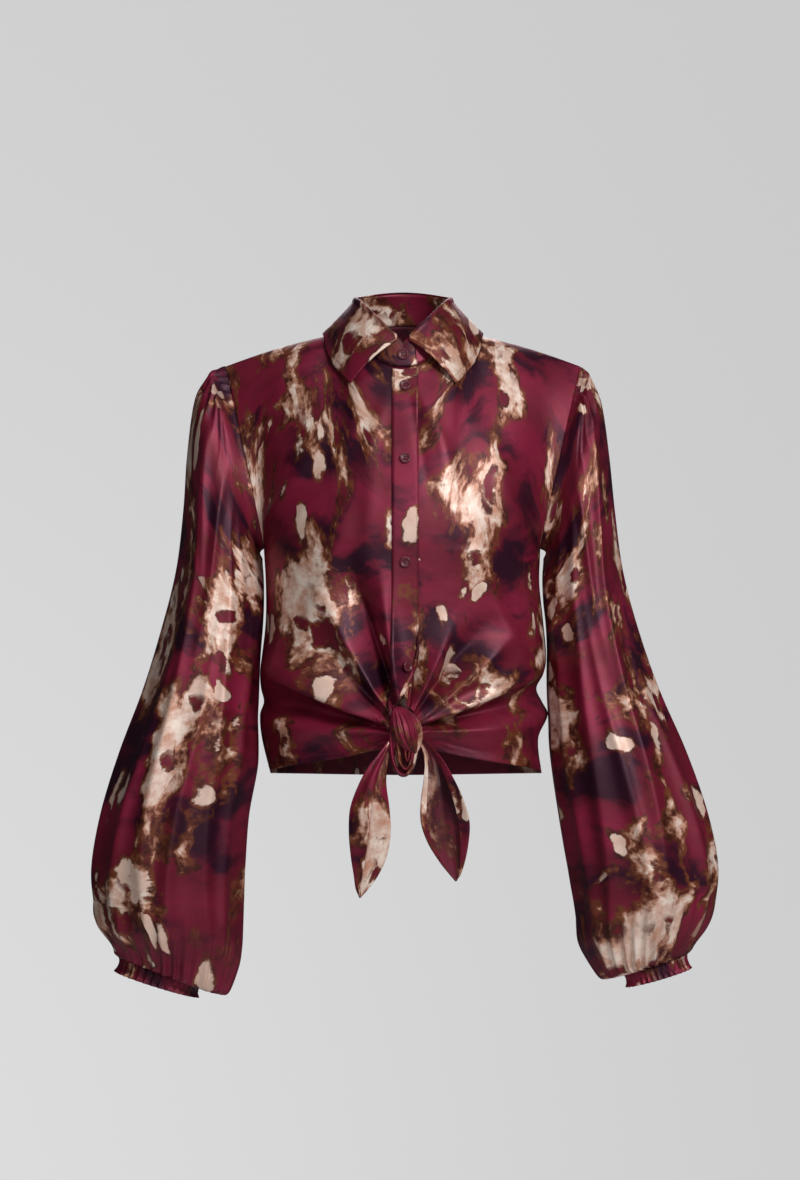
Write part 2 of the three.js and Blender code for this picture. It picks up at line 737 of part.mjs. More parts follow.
// A closed form round a line, with strands that wind along it
function windingForm(form, grow = 0) {
  const from = new THREE.Vector3(...form.from);
  const to = new THREE.Vector3(...form.to);
  const line = to.clone().sub(from).normalize();
  const front = new THREE.Vector3(0, 1, 0);
  const sideways = new THREE.Vector3().crossVectors(line, front).normalize();
  const depthways = new THREE.Vector3().crossVectors(sideways, line).normalize();
  const rings = 10;
  const around = 20;
  const points = [from.clone().addScaledVector(line, -grow)];
  for (let ring = 1; ring < rings; ring += 1) {
    const share = ring / rings;
    const swell = Math.pow(Math.sin(Math.PI * share), 0.6);
    for (let step = 0; step < around; step += 1) {
      const turn = (step / around) * 2 * Math.PI;
      const strand = 1 + form.groove * Math.cos(form.strands * turn + form.twist * Math.PI * share);
      const width = form.halfWidth * swell * strand + grow;
      const depth = form.halfDepth * swell * strand + grow;
      const middle = from.clone().lerp(to, share);
      middle.addScaledVector(sideways, width * Math.cos(turn));
      points.push(middle.addScaledVector(depthways, depth * Math.sin(turn)));
    }
  }
  points.push(to.clone().addScaledVector(line, grow));
  const faces = [];
  const at = (ring, step) => 1 + (ring - 1) * around + (step % around);
  for (let step = 0; step < around; step += 1) {
    faces.push([0, at(1, step), at(1, step + 1)]);
    faces.push([points.length - 1, at(rings - 1, step + 1), at(rings - 1, step)]);
    for (let ring = 1; ring < rings - 1; ring += 1) {
      pushQuad(faces, [at(ring, step), at(ring + 1, step), at(ring + 1, step + 1), at(ring, step + 1)], 0);
    }
  }
  return closedGeometry(points, faces);
}

function asSolid(geometry) {
  const vertProperties = new Float32Array(geometry.attributes.position.array);
  const triVerts = new Uint32Array(geometry.index.array);
  return new wasm.Manifold(new wasm.Mesh({ numProp: 3, vertProperties, triVerts }));
}

function cutAway(geometry, ...cutters) {
  let solid = asSolid(geometry);
  for (const cutter of cutters) {
    solid = solid.subtract(asSolid(cutter));
  }
  const mesh = solid.getMesh();
  const cut = new THREE.BufferGeometry();
  cut.setAttribute("position", new THREE.Float32BufferAttribute(mesh.vertProperties, 3));
  cut.setIndex(Array.from(mesh.triVerts));
  cut.computeVertexNormals();
  return cut;
}

// A pointed end of the tie, creased or cupped along its middle
function buildTieEnd(sections) {
  const spots = [-1, -0.62, -0.3, 0, 0.3, 0.62, 1];
  const rows = evenly(sections[0].z, sections[sections.length - 1].z, 14).map((z) => {
    const section = rowAt(sections, "z", z);
    return spots.map((spot) => {
      const reach = spot * section.halfWidth;
      const x = section.x + reach * Math.cos(section.turn);
      const ridge = section.ridge * (1 - Math.pow(Math.abs(spot), 1.4));
      return new THREE.Vector3(x, section.y + reach * Math.sin(section.turn) - ridge, z);
    });
  });
  return clothWall(rows, { outward: -1 });
}

// A button turned on its axis, dished inside its rim
function buildButton() {
  const { radius, rim, dish, bevel, well, segments } = BUTTON;
  const profile = [[0, 0], [radius - bevel, 0], [radius, bevel], [radius, rim - bevel]];
  profile.push([radius - bevel, rim], [well + bevel, rim - bevel / 2], [well, dish], [0, dish]);
  return new THREE.LatheGeometry(profile.map(([x, y]) => new THREE.Vector2(x, y)), segments);
}

function downAt(level, x) {
  let low = 0;
  let high = 2;
  for (let round = 0; round < 26; round += 1) {
    const middle = (low + high) / 2;
    if (bodyPoint(acrossAt(x, middle), middle, FRONT).z > level) {
      low = middle;
    } else {
      high = middle;
    }
  }
  return (low + high) / 2;
}

function placeButton(mesh, point, normal, lift) {
  mesh.quaternion.setFromUnitVectors(new THREE.Vector3(0, 1, 0), normal);
  mesh.position.copy(point).addScaledVector(normal, lift);
  blouse.add(mesh);
}

function meshOf(name, geometry, colour, roughness) {
  const material = new THREE.MeshStandardMaterial({ color: colour, roughness, metalness: 0 });
  const mesh = new THREE.Mesh(geometry, material);
  mesh.name = name;
  return mesh;
}

const blouse = new THREE.Group();
const addCloth = (name, geometry) => blouse.add(meshOf(name, geometry, CLOTH_COLOUR, 0.42));
addCloth("front_right", buildFront(WEARERS_RIGHT));
addCloth("front_left", buildFront(WEARERS_LEFT));
addCloth("back", buildBack());
addCloth("placket", buildPlacket());
addCloth("collar_stand", buildStand());
addCloth("collar_fall", buildFall());
addCloth("sleeve_right", buildSleeve(WEARERS_RIGHT, SLEEVE_RIGHT));
addCloth("sleeve_left", buildSleeve(WEARERS_LEFT, SLEEVE_LEFT));
addCloth("cuff_right", buildCuff(WEARERS_RIGHT, SLEEVE_RIGHT));
addCloth("cuff_left", buildCuff(WEARERS_LEFT, SLEEVE_LEFT));
const wrap = windingForm(KNOT_WRAP);
const wrapWithGap = windingForm(KNOT_WRAP, SEAM_GAP);
const loopWithGap = windingForm(KNOT_LOOP, SEAM_GAP);
addCloth("knot_wrap", wrap);
addCloth("knot_loop", cutAway(windingForm(KNOT_LOOP), wrapWithGap));
addCloth("tie_end_right", cutAway(buildTieEnd(TIE_END_RIGHT), wrapWithGap, loopWithGap));
addCloth("tie_end_left", cutAway(buildTieEnd(TIE_END_LEFT), wrapWithGap, loopWithGap));

const standButton = standPoint(2 * Math.PI, 0.5);
const buttonMesh = (number) => meshOf(`button_${number}`, buildButton(), BUTTON_COLOUR, 0.35);
placeButton(buttonMesh(1), standButton, new THREE.Vector3(0, -1, 0.12).normalize(), BUTTON.clear);
BUTTON_LEVELS.forEach((level, index) => {
  const closing = rowAt(CLOSING, "z", level);
  const x = (closing.bandRight + closing.bandLeft) / 2;
  const down = downAt(level, x);
  const across = acrossAt(x, down);
  const point = bodyPoint(across, down, FRONT);
  const clear = index === BUTTON_LEVELS.length - 1 ? BUTTON.clearOnFold : BUTTON.clear;
  placeButton(buttonMesh(index + 2), point, bodyNormal(across, down, FRONT), bandLift(down) + clear);
});

export default blouse;
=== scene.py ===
import math
from types import SimpleNamespace as Sizes

import bmesh
import bpy
import numpy as np
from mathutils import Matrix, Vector


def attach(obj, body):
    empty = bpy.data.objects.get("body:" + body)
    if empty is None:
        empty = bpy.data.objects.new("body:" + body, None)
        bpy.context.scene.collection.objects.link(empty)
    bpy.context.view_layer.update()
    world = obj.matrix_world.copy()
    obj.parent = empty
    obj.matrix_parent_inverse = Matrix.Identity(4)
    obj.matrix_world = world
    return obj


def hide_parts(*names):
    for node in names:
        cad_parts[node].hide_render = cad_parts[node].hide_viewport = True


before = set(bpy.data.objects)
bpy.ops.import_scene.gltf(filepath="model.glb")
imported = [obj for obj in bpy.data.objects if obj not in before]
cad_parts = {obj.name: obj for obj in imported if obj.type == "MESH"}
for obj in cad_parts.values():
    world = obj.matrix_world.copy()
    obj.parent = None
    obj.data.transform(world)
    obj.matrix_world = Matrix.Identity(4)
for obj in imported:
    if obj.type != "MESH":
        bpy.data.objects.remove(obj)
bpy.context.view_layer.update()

# A tie-front satin blouse as it is worn. Tables are in millimetres, meshes in metres.
MM = 0.001
FRONT = -1
BACK = 1
WEARERS_RIGHT = -1
WEARERS_LEFT = 1
QUARTER_TURN = math.pi / 2
FULL_TURN = 2 * math.pi
AHEAD = np.array([0.0, -1.0, 0.0])
UP = np.array([0.0, 0.0, 1.0])

# Thickness of single and of doubled cloth, and the room left at a seam
SATIN = 0.55
DOUBLED = 1.2
SEAM_GAP = 0.3


class Table:
    """Rows with named columns, read at any value of the first on a smooth curve through the rows."""

    def __init__(self, names, rows):
        self.names = names.split()
        self.rows = np.array(sorted(rows), float)

    def at(self, values):
        rows = self.rows
        keys = rows[:, 0]
        places = np.arange(len(keys))
        low = np.maximum(places - 1, 0)
        high = np.minimum(places + 1, len(keys) - 1)
        slopes = (rows[high] - rows[low]) / (keys[high] - keys[low])[:, None]
        held = np.clip(np.asarray(values, float), keys[0], keys[-1])
        after = np.clip(np.searchsorted(keys, held), 1, len(keys) - 1)
        before = after - 1
        span = (keys[after] - keys[before])[..., None]
        share = (held - keys[before])[..., None] / span
        found = hermite(rows[before], rows[after], slopes[before] * span, slopes[after] * span, share)
        return self.named(np.moveaxis(found, -1, 0))

    def each(self):
        return [self.named(row) for row in self.rows]

    def named(self, values):
        return Sizes(**dict(zip(self.names, values)))


def hermite(start, end, start_slope, end_slope, share):
    square = share * share
    cube = square * share
    from_start = (2 * cube - 3 * square + 1) * start + (cube - 2 * square + share) * start_slope
    return from_start + (3 * square - 2 * cube) * end + (cube - square) * end_slope


def mix(start, end, share):
    return start + (end - start) * share


def smooth(low, high, value):
    share = np.clip((value - low) / (high - low), 0, 1)
    return share * share * (3 - 2 * share)


def unit(vectors):
    return vectors / np.maximum(np.linalg.norm(vectors, axis=-1, keepdims=True), 1e-9)


def xyz(x, y, z):
    return np.stack([x, y, z], -1)


# Neckline, shoulders, underarm level and the body below it; across and down are shares of a panel
NECK = Sizes(half_width=66, front=72, back=60, side_z=2, front_z=-37, back_z=12, curve=2.4)
SHOULDER_TIP = Sizes(x=186, z=-33, rise=3)
NECK_EASE = Sizes(width=0.14, reach=0.17)
SIDE_CALM = 0.72
UNDERARM_Z = -225
NECK_SHARE = 0.34
BODY_SQUARENESS = 2.3
HEM = Sizes(side_z=-460, back_z=-466, curve=0.8)
BODY = Table("z right left front back", [
    [-225, 146, 144, 121, 103],
    [-260, 144, 143, 119, 99],
    [-300, 144, 147, 116, 95],
    [-338, 148, 150, 112, 94],
    [-356, 150, 147, 109, 93],
    [-371, 149, 140, 106, 92],
    [-385, 146, 146, 105, 92],
    [-398, 150, 152, 105, 93],
    [-423, 148, 142, 106, 96],
    [-464, 138, 146, 109, 101],
])
UPPER_FRONT = Table("across top_x top_y top_z low_x low_y low_z", [
    [-0.34, -3, 42, -11, 0, 3, 92],
    [0, 0, 20, -52, 0, 4, 75],
    [0.34, 3, 42, -11, 0, 3, 92],
    [0.67, 0, 50, -18, 0, 4, 96],
    [0.86, -5, 47, -34, 0, 24, 58],
    [1, -11, 42, -49, -2, 66, 10],
])
UPPER_BACK = Table("across top_x top_y top_z low_x low_y low_z", [
    [-0.34, -3, 40, -15, 0, 6, 92],
    [0, 0, 24, -48, 0, 8, 80],
    [0.34, 3, 40, -15, 0, 6, 92],
    [0.67, 0, 46, -21, 0, 6, 96],
    [0.86, -4, 42, -35, 0, 22, 58],
    [1, -8, 38, -50, 0, 58, 10],
])

# The knot and the folds that run out from it; bearings turn from +X towards +Z
KNOT = Sizes(x=2, z=-421, half_width=16, half_height=34, lift=24, spread=20, share=0.38, turn=1.75, draw=1.6)
FOLD_START = Sizes(z=-413, near=18, far=52, least=0.3, fade=0.5)
KNOT_FOLDS = Table("bearing height above below reach", [
    [-14, -5, 8, 8, 130],
    [0, 7, 9, 8, 150],
    [12, -16, 6, 5, 200],
    [24, 22, 17, 4, 200],
    [43, 11, 6, 5, 180],
    [53, -10, 4.5, 4.5, 160],
    [66, 10, 6, 5, 140],
    [80, -8, 6, 6, 110],
    [98, 11, 5, 4.5, 200],
    [109, -16, 4.5, 4.5, 230],
    [120, 13, 6, 4.5, 190],
    [134, -7, 5, 5, 150],
    [156, 22, 4, 17, 200],
    [168, -15, 5, 6, 200],
    [179, 10, 7, 7, 170],
    [193, -6, 8, 8, 130],
])
PLEATS = Sizes(count=30, height=4.2, reach=34, near=12, far=24)
# Soft folds that lie free of the knot, with the finer creases of the satin
CHEST_FOLDS = Table("x z slope height width length", [
    [-112, -150, 0.5, 3, 12, 60],
    [108, -165, -0.45, 3, 13, 70],
    [-70, -235, 0.2, 2.5, 12, 55],
    [82, -250, -0.25, 3, 14, 60],
    [-138, -190, 0.75, 2.4, 6, 34],
    [-126, -215, 0.9, 2, 5, 28],
    [136, -185, -0.7, 2.4, 6, 36],
    [128, -222, -0.85, 2, 5, 26],
    [-96, -300, 0.32, 3, 9, 46],
    [-120, -318, 0.18, 2.6, 8, 40],
    [104, -306, -0.4, 3.4, 9, 52],
    [126, -300, -0.2, 3, 8, 44],
    [27, -88, -0.42, 2.8, 8, 40],
    [16, -110, -0.2, -2.2, 6, 44],
    [-26, -96, 0.3, 1.8, 7, 36],
    [-34, -180, 0.05, 1.4, 9, 60],
    [44, -150, -0.12, 1.6, 10, 60],
    [-60, -120, 0.28, 1.6, 9, 42],
])
BACK_FOLDS = Table("x z slope height width length", [
    [-84, -330, -0.3, 5, 14, 110],
    [-30, -350, -0.1, 4, 13, 100],
    [26, -340, 0.08, 5, 14, 110],
    [80, -350, 0.25, 4, 13, 90],
    [-118, -160, -0.35, 3, 12, 60],
    [116, -165, 0.35, 3, 12, 60],
    [-108, -372, -0.5, 3, 8, 60],
    [-56, -390, -0.2, 2.6, 7, 60],
    [4, -400, 0.04, 2.4, 8, 52],
    [54, -388, 0.16, 2.8, 7, 60],
    [104, -380, 0.4, 3, 8, 56],
    [-134, -205, -0.8, 2, 6, 32],
    [134, -210, 0.8, 2, 6, 32],
    [-60, -90, -0.6, 1.6, 9, 40],
    [62, -96, 0.6, 1.6, 9, 40],
])
CLOSING = Table("z right_edge left_edge band_right band_left", [
    [-30, -6.1, -5.6, -11.5, 15.7],
    [-300, -6.1, -5.6, -11.5, 15.7],
    [-335, -6.5, -5, -12, 14],
    [-362, -9, -1, -13.5, 5],
    [-382, -12, 3, -16, -5],
    [-400, -13, 5, -17, -8],
])
CLOSING_REACH = 0.26
HALVINGS = 26


def section_point(z, angle, face):
    """The body's outline at one level; the angle is 0 at the middle, a quarter turn at a side seam."""
    row = BODY.at(z)
    half_width = np.where(angle < 0, row.right, row.left)
    depth = row.front if face == FRONT else row.back
    forward = (np.abs(np.cos(angle)) / depth) ** BODY_SQUARENESS
    sideways = (np.abs(np.sin(angle)) / half_width) ** BODY_SQUARENESS
    radius = (forward + sideways) ** (-1 / BODY_SQUARENESS)
    return xyz(radius * np.sin(angle), face * radius * np.cos(angle), z + 0 * angle)


def top_point(across, face):
    """The upper edge of a panel: half of the neckline, then the shoulder seam."""
    far = np.abs(across)
    side = np.where(across < 0, -1, 1)
    turn = np.minimum(far / NECK_SHARE, 1) * QUARTER_TURN
    depth = NECK.front if face == FRONT else NECK.back
    middle_z = NECK.front_z if face == FRONT else NECK.back_z
    lift = np.clip(np.cos(turn), 0, 1) ** NECK.curve
    neck_z = mix(NECK.side_z, middle_z, lift)
    neck = xyz(side * NECK.half_width * np.sin(turn), face * depth * np.cos(turn), neck_z)
    share = np.clip((far - NECK_SHARE) / (1 - NECK_SHARE), 0, 1)
    rise = SHOULDER_TIP.rise * np.sin(math.pi * share)
    z = mix(NECK.side_z, SHOULDER_TIP.z, share) + rise
    shoulder = xyz(side * mix(NECK.half_width, SHOULDER_TIP.x, share), 0 * far, z)
    return np.where((far <= NECK_SHARE)[..., None], neck, shoulder)


def drawn_point(across, down, face):
    side = np.where(across < 0, -1, 1)
    row = (UPPER_FRONT if face == FRONT else UPPER_BACK).at(np.abs(across))
    start = top_point(across, face)
    end = section_point(np.full_like(across, UNDERARM_Z), across * QUARTER_TURN, face)
    leave = start + xyz(side * row.top_x, face * row.top_y, row.top_z)
    arrive = end + xyz(side * row.low_x, face * row.low_y, row.low_z)
    t = np.clip(down, 0, 1)[..., None]
    return (1 - t) ** 3 * start + 3 * t * (1 - t) ** 2 * leave + 3 * t * t * (1 - t) * arrive + t ** 3 * end


def upper_point(across, down, face):
    """The upper body, with the bend below the side of the neck rounded off."""
    near = np.exp(-((np.abs(across) - NECK_SHARE) / NECK_EASE.reach) ** 2)
    width = NECK_EASE.width * near * smooth(0, 0.2, down)
    shifts = np.linspace(-1, 1, 11)[1:-1]
    weights = (1 - shifts ** 2) / np.sum(1 - shifts ** 2)
    steps = zip(shifts, weights)
    return sum(weight * drawn_point(across + shift * width, down, face) for shift, weight in steps)


def lower_point(across, down, face):
    share = np.clip(down - 1, 0, 1)
    side = np.where(across < 0, -1, 1)
    if face == BACK:
        hem_z = mix(HEM.side_z, HEM.back_z, np.cos(across * QUARTER_TURN))
        return section_point(mix(UNDERARM_Z, hem_z, share), across * QUARTER_TURN, face)
    far = np.abs(across)
    turn = np.minimum(far / KNOT.share, 1) * KNOT.turn
    x = KNOT.x + side * KNOT.half_width * np.sin(turn)
    z = KNOT.z + KNOT.half_height * np.cos(turn)
    angle = np.arctan2(x, BODY.at(z).front)
    out = np.maximum((far - KNOT.share) / (1 - KNOT.share), 0)
    end_angle = mix(angle, side * QUARTER_TURN, out)
    end_z = mix(z, HEM.side_z, out ** HEM.curve)
    angle = mix(across * QUARTER_TURN, end_angle, share ** KNOT.draw)
    return section_point(mix(UNDERARM_Z, end_z, share), angle, face)


def knot_folds(x, z):
    rise = z - FOLD_START.z
    distance = np.hypot(x, rise)
    bearing = np.degrees(np.arctan2(rise, x))
    start = mix(FOLD_START.least, 1, smooth(FOLD_START.near, FOLD_START.far, distance))
    height = 0 * x
    for fold in KNOT_FOLDS.each():
        turned = (bearing - fold.bearing + 180) % 360 - 180
        width = np.where(turned > 0, fold.above, fold.below)
        crest = np.exp(-((turned / width) ** 2 + 0.03) ** 0.75)
        fade = 1 - smooth(FOLD_START.fade * fold.reach, fold.reach, distance)
        height += fold.height * crest * start * fade
    turn = np.radians(bearing)
    pleats = np.cos(turn * PLEATS.count + 1.4 * np.sin(turn * 5)) * (0.6 + 0.4 * np.sin(turn * 9 + 1))
    held = np.exp(-distance / PLEATS.reach) * smooth(PLEATS.near, PLEATS.far, distance)
    return height + PLEATS.height * pleats * held


def loose_folds(folds, x, z):
    height = 0 * x
    for fold in folds.each():
        off_line = (x - fold.x - fold.slope * (z - fold.z)) / fold.width
        along = (z - fold.z) / fold.length
        height += fold.height * np.exp(-off_line ** 2 - along ** 2)
    return height


def body_point(across, down, face):
    """A point of the outside of the body, across from -1 to 1 and down from 0 to 2."""
    across = np.asarray(across, float)
    down = np.asarray(down, float) + 0 * across
    upper = (down <= 1)[..., None]
    point = np.where(upper, upper_point(across, down, face), lower_point(across, down, face))
    x, z = point[..., 0], point[..., 2]
    freedom = 1 - smooth(SIDE_CALM, 1, np.abs(across))
    height = loose_folds(CHEST_FOLDS if face == FRONT else BACK_FOLDS, x, z) * smooth(0, 0.3, down)
    forward = 0 * x
    if face == FRONT:
        height = height + knot_folds(x, z) * smooth(0.8, 1.2, down)
        outline = np.hypot((x - KNOT.x) / KNOT.half_width, (z - KNOT.z) / KNOT.half_height)
        forward = KNOT.lift * np.exp(-(np.maximum(outline, 1) - 1) * KNOT.half_width / KNOT.spread)
    turn = across * QUARTER_TURN
    height = height * freedom
    outward = height * np.cos(turn) + forward + SEAM_GAP / 2
    return point + xyz(height * np.sin(turn), face * outward, 0 * x)


def body_normal(across, down, face):
    step = 0.004
    sideways = body_point(across + step, down, face) - body_point(across - step, down, face)
    low = body_point(across, np.maximum(down - step, 0), face)
    downwards = body_point(across, np.minimum(down + step, 2), face) - low
    return unit(np.cross(sideways, downwards) * face)


def across_at(x, down):
    """The share across at which a line down the front reaches a given x near the middle."""
    low = np.full_like(down, -CLOSING_REACH)
    high = np.full_like(down, CLOSING_REACH)
    for _ in range(HALVINGS):
        middle = (low + high) / 2
        short = body_point(middle, down, FRONT)[..., 0] < x
        low = np.where(short, middle, low)
        high = np.where(short, high, middle)
    return (low + high) / 2


def closing_at(down):
    """The closing's edges at a share down the front, as values of x."""
    return CLOSING.at(body_point(0 * down, down, FRONT)[..., 2])


# Meshes
def grid_mesh(columns, rows, place, flat, close=False):
    """A grid whose points are moved to place(u, v), with the cloth's flat position in its UV map."""
    bm = bmesh.new()
    bmesh.ops.create_grid(bm, x_segments=columns, y_segments=rows, size=0.5)
    bm.verts.ensure_lookup_table()
    u = np.array([vert.co.x + 0.5 for vert in bm.verts])
    v = np.array([0.5 - vert.co.y for vert in bm.verts])
    points = place(u, v) * MM
    spots = np.stack(flat(u, v), -1) * MM
    layer = bm.loops.layers.uv.new("cloth")
    for face in bm.faces:
        for loop in face.loops:
            loop[layer].uv = spots[loop.vert.index]
    for vert, point in zip(bm.verts, points):
        vert.co = point
    if close:
        bmesh.ops.remove_doubles(bm, verts=bm.verts, dist=1e-6)
    return bm


def face_away(bm, outward):
    """Turns the sheet so that its middle face points along outward(centre)."""
    bm.faces.ensure_lookup_table()
    bm.normal_update()
    face = bm.faces[len(bm.faces) // 2 + 3]
    if face.normal.dot(outward(face.calc_center_median())) < 0:
        bmesh.ops.reverse_faces(bm, faces=bm.faces)


def add_object(name, data):
    item = bpy.data.objects.new(name, data)
    bpy.context.scene.collection.objects.link(item)
    return item


def finish_piece(name, bm, materials, slot="cloth", nodes=(), thickness=0.0):
    name = f"{name}_{slot}"
    mesh = bpy.data.meshes.new(name)
    bm.to_mesh(mesh)
    bm.free()
    mesh.shade_smooth()
    piece = add_object(name, mesh)
    for material in materials:
        mesh.materials.append(material)
    if thickness:
        wall = piece.modifiers.new("wall", "SOLIDIFY")
        wall.thickness = thickness * MM
        wall.offset = -1
        wall.use_even_offset = False
        wall.material_offset = 1 if len(materials) > 1 else 0
    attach(piece, "root")
    if nodes:
        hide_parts(*nodes)
    return piece


def from_line(x, y):
    """The way out from an upright line through x and y."""
    return lambda centre: Vector((centre.x - x * MM, centre.y - y * MM, 0))


def laid_out(width, length, corner):
    """The flat place of a sheet: u runs over its width and v down its length."""
    return lambda u, v: (corner[0] + width * u, corner[1] - length * v)


def make_cloth(name, columns, rows, place, flat, outward=from_line(0, 0), doubled=False, close=False):
    """A sheet in place of its CAD node: doubled cloth, or single cloth whose reverse is rougher and darkened
    with painted shade.
    """
    bm = grid_mesh(columns, rows, place, flat, close)
    face_away(bm, outward)
    if doubled:
        return finish_piece(name, bm, [satin], nodes=[name], thickness=DOUBLED)
    return finish_piece(name, bm, [satin, shaded_reverse], nodes=[name], thickness=SATIN)


def make_bundle(name, columns, rows, place, flat, nodes=()):
    """A closed roll of cloth."""
    bm = grid_mesh(columns, rows, place, flat, close=True)
    bmesh.ops.recalc_face_normals(bm, faces=bm.faces)
    return finish_piece(name, bm, [satin], nodes=nodes)


# Shader groups
def node_group(name, inputs, outputs):
    group = bpy.data.node_groups.new(name, "ShaderNodeTree")
    for title, kind in inputs:
        group.interface.new_socket(title, in_out="INPUT", socket_type=kind)
    for title, kind in outputs:
        group.interface.new_socket(title, in_out="OUTPUT", socket_type=kind)
    nodes = Nodes(group)
    return group, nodes, nodes.add("NodeGroupInput").outputs, nodes.add("NodeGroupOutput").inputs


def new_material(name):
    """A material with its short node calls and the inputs of its shader."""
    material = bpy.data.materials.new(name)
    material.use_nodes = True
    return material, Nodes(material.node_tree), material.node_tree.nodes["Principled BSDF"].inputs


class Nodes:
    """Short calls that add nodes to a tree and join them."""

    def __init__(self, tree):
        self.tree = tree

    def add(self, kind, values=None, **settings):
        node = self.tree.nodes.new(kind)
        for key, value in settings.items():
            setattr(node, key, value)
        for key, value in (values or {}).items():
            self.feed(node.inputs[key], value)
        return node

    def feed(self, socket, value):
        if isinstance(value, bpy.types.NodeSocket):
            self.tree.links.new(value, socket)
        else:
            socket.default_value = value

    def math(self, operation, first, second):
        node = self.add("ShaderNodeMath", operation=operation)
        for socket, value in zip(node.inputs, (first, second)):
            self.feed(socket, value)
        return node.outputs[0]

    def vector(self, operation, first, second):
        return self.add("ShaderNodeVectorMath", {0: first, 1: second}, operation=operation).outputs[0]

    def step(self, value, low, high, to_low=0, to_high=1):
        values = {"Value": value, "From Min": low, "From Max": high, "To Min": to_low, "To Max": to_high}
        return self.add("ShaderNodeMapRange", values, interpolation_type="SMOOTHSTEP").outputs[0]

    def noise(self, vector, scale, detail=2, rough=0.5):
        values = {"Vector": vector, "Scale": scale, "Detail": detail, "Roughness": rough}
        return self.add("ShaderNodeTexNoise", values).outputs

    def blend(self, share, first, second):
        node = self.add("ShaderNodeMix", data_type="RGBA")
        for socket, value in zip((node.inputs[0], node.inputs[6], node.inputs[7]), (share, first, second)):
            self.feed(socket, value)
        return node.outputs[2]

    def mapped(self, vector, scale=(1, 1, 1), move=(0, 0, 0), turn=0):
        values = {"Vector": vector, "Scale": scale, "Location": move, "Rotation": (0, 0, turn)}
        return self.add("ShaderNodeMapping", values).outputs[0]


def srgb(red, green, blue):
    """A colour given in the 0 to 255 values of a screen."""
    shares = [value / 255 for value in (red, green, blue)]
    return tuple(s / 12.92 if s <= 0.04045 else ((s + 0.055) / 1.055) ** 2.4 for s in shares) + (1,)


WINE = srgb(108, 24, 41)
WINE_LIGHT = srgb(138, 31, 60)
PLUM = srgb(45, 12, 32)
UMBER = srgb(64, 26, 18)
BROWN = srgb(120, 64, 38)
TAN = srgb(208, 152, 126)
CREAM = srgb(255, 238, 224)


STROKES = [
    (0.35, (0.6, 0.2, 0), (7.7, 2.2, 0)),
    (-0.5, (4.1, 3.3, 0), (1.9, 6.4, 0)),
]


def print_group():
    """A generic blotched print: wine and plum clouds, ragged cream shapes with brown rims, cream strokes."""
    group, n, given, out = node_group(
        "blotched_print", [("Vector", "NodeSocketVector")], [("Color", "NodeSocketColor")])
    place = given["Vector"]
    fray = n.math("SUBTRACT", n.noise(place, 150, 4, 0.66)[0], 0.5)
    drift = n.vector("SUBTRACT", n.noise(place, 13, 3, 0.55)[1], (0.5, 0.5, 0.5))
    wander = n.add("ShaderNodeVectorMath", {0: drift, "Scale": 0.07}, operation="SCALE").outputs[0]
    bent = n.vector("ADD", place, wander)
    mottle = n.noise(place, 52, 4, 0.62)[0]

    # Ground: wine with soft bands of a lighter wine and of plum
    bands = n.noise(n.mapped(bent, (6, 15, 1)), 1, 3, 0.5)[0]
    ground = n.blend(n.step(bands, 0.36, 0.66), WINE, WINE_LIGHT)
    clouds = n.noise(n.mapped(bent, (9, 17, 1), (3.1, 1.7, 0)), 1, 4, 0.58)[0]
    ground = n.blend(n.step(clouds, 0.47, 0.62), ground, PLUM)

    # Ragged shapes that run down the cloth: brown at the rim, then tan, then cream, with islands left in them
    field = n.noise(n.mapped(bent, (13, 7, 1), (0.3, 4.4, 0), 0.35), 1, 5, 0.58)[0]
    edge = n.math("SUBTRACT", n.math("ADD", field, n.math("MULTIPLY", fray, 0.09)), 0.545)
    rim = n.blend(n.step(mottle, 0.38, 0.6), UMBER, BROWN)
    colour = n.blend(n.step(edge, -0.045, -0.015), ground, rim)
    colour = n.blend(n.step(edge, -0.008, 0.022), colour, n.blend(n.step(mottle, 0.34, 0.6), BROWN, TAN))
    colour = n.blend(n.step(edge, 0.014, 0.05), colour, n.blend(n.step(mottle, 0.3, 0.7), TAN, CREAM))
    islands = n.add("ShaderNodeTexVoronoi", {"Vector": n.mapped(bent, (44, 34, 1)), "Scale": 1.0})
    inner = n.math("ADD", islands.outputs["Distance"], n.math("MULTIPLY", fray, 0.5))
    among = n.math("MULTIPLY", n.step(edge, -0.03, 0), n.step(n.noise(bent, 17)[0], 0.4, 0.52))
    colour = n.blend(n.math("MULTIPLY", among, n.step(inner, 0.46, 0.36)), colour, rim)
    colour = n.blend(n.math("MULTIPLY", among, n.step(inner, 0.34, 0.26)), colour, WINE)

    # Strokes: cream ovals in loose groups that lean both ways, each with a thin brown rim
    for turn, move, crowd_move in STROKES:
        values = {"Vector": n.mapped(bent, (50, 29, 1), move, turn), "Scale": 1, "Randomness": 0.8}
        cells = n.add("ShaderNodeTexVoronoi", values).outputs
        near = n.math("ADD", cells["Distance"], n.math("MULTIPLY", fray, 0.3))
        spot = n.mapped(cells["Position"], (0.15, 0.22, 1), crowd_move)
        crowd = n.step(n.noise(spot, 1, 2)[0], 0.58, 0.6)
        lot = n.add("ShaderNodeSeparateColor", {0: cells["Color"]}).outputs[0]
        chosen = n.math("MULTIPLY", crowd, n.step(lot, 0.5, 0.52))
        rimmed = n.math("MULTIPLY", chosen, n.step(edge, 0, -0.03))
        colour = n.blend(n.math("MULTIPLY", rimmed, n.step(near, 0.6, 0.44)), colour, rim)
        fresh = n.blend(mottle, CREAM, TAN)
        colour = n.blend(n.math("MULTIPLY", chosen, n.step(near, 0.45, 0.38)), colour, fresh)
    n.feed(out["Color"], colour)
    return group


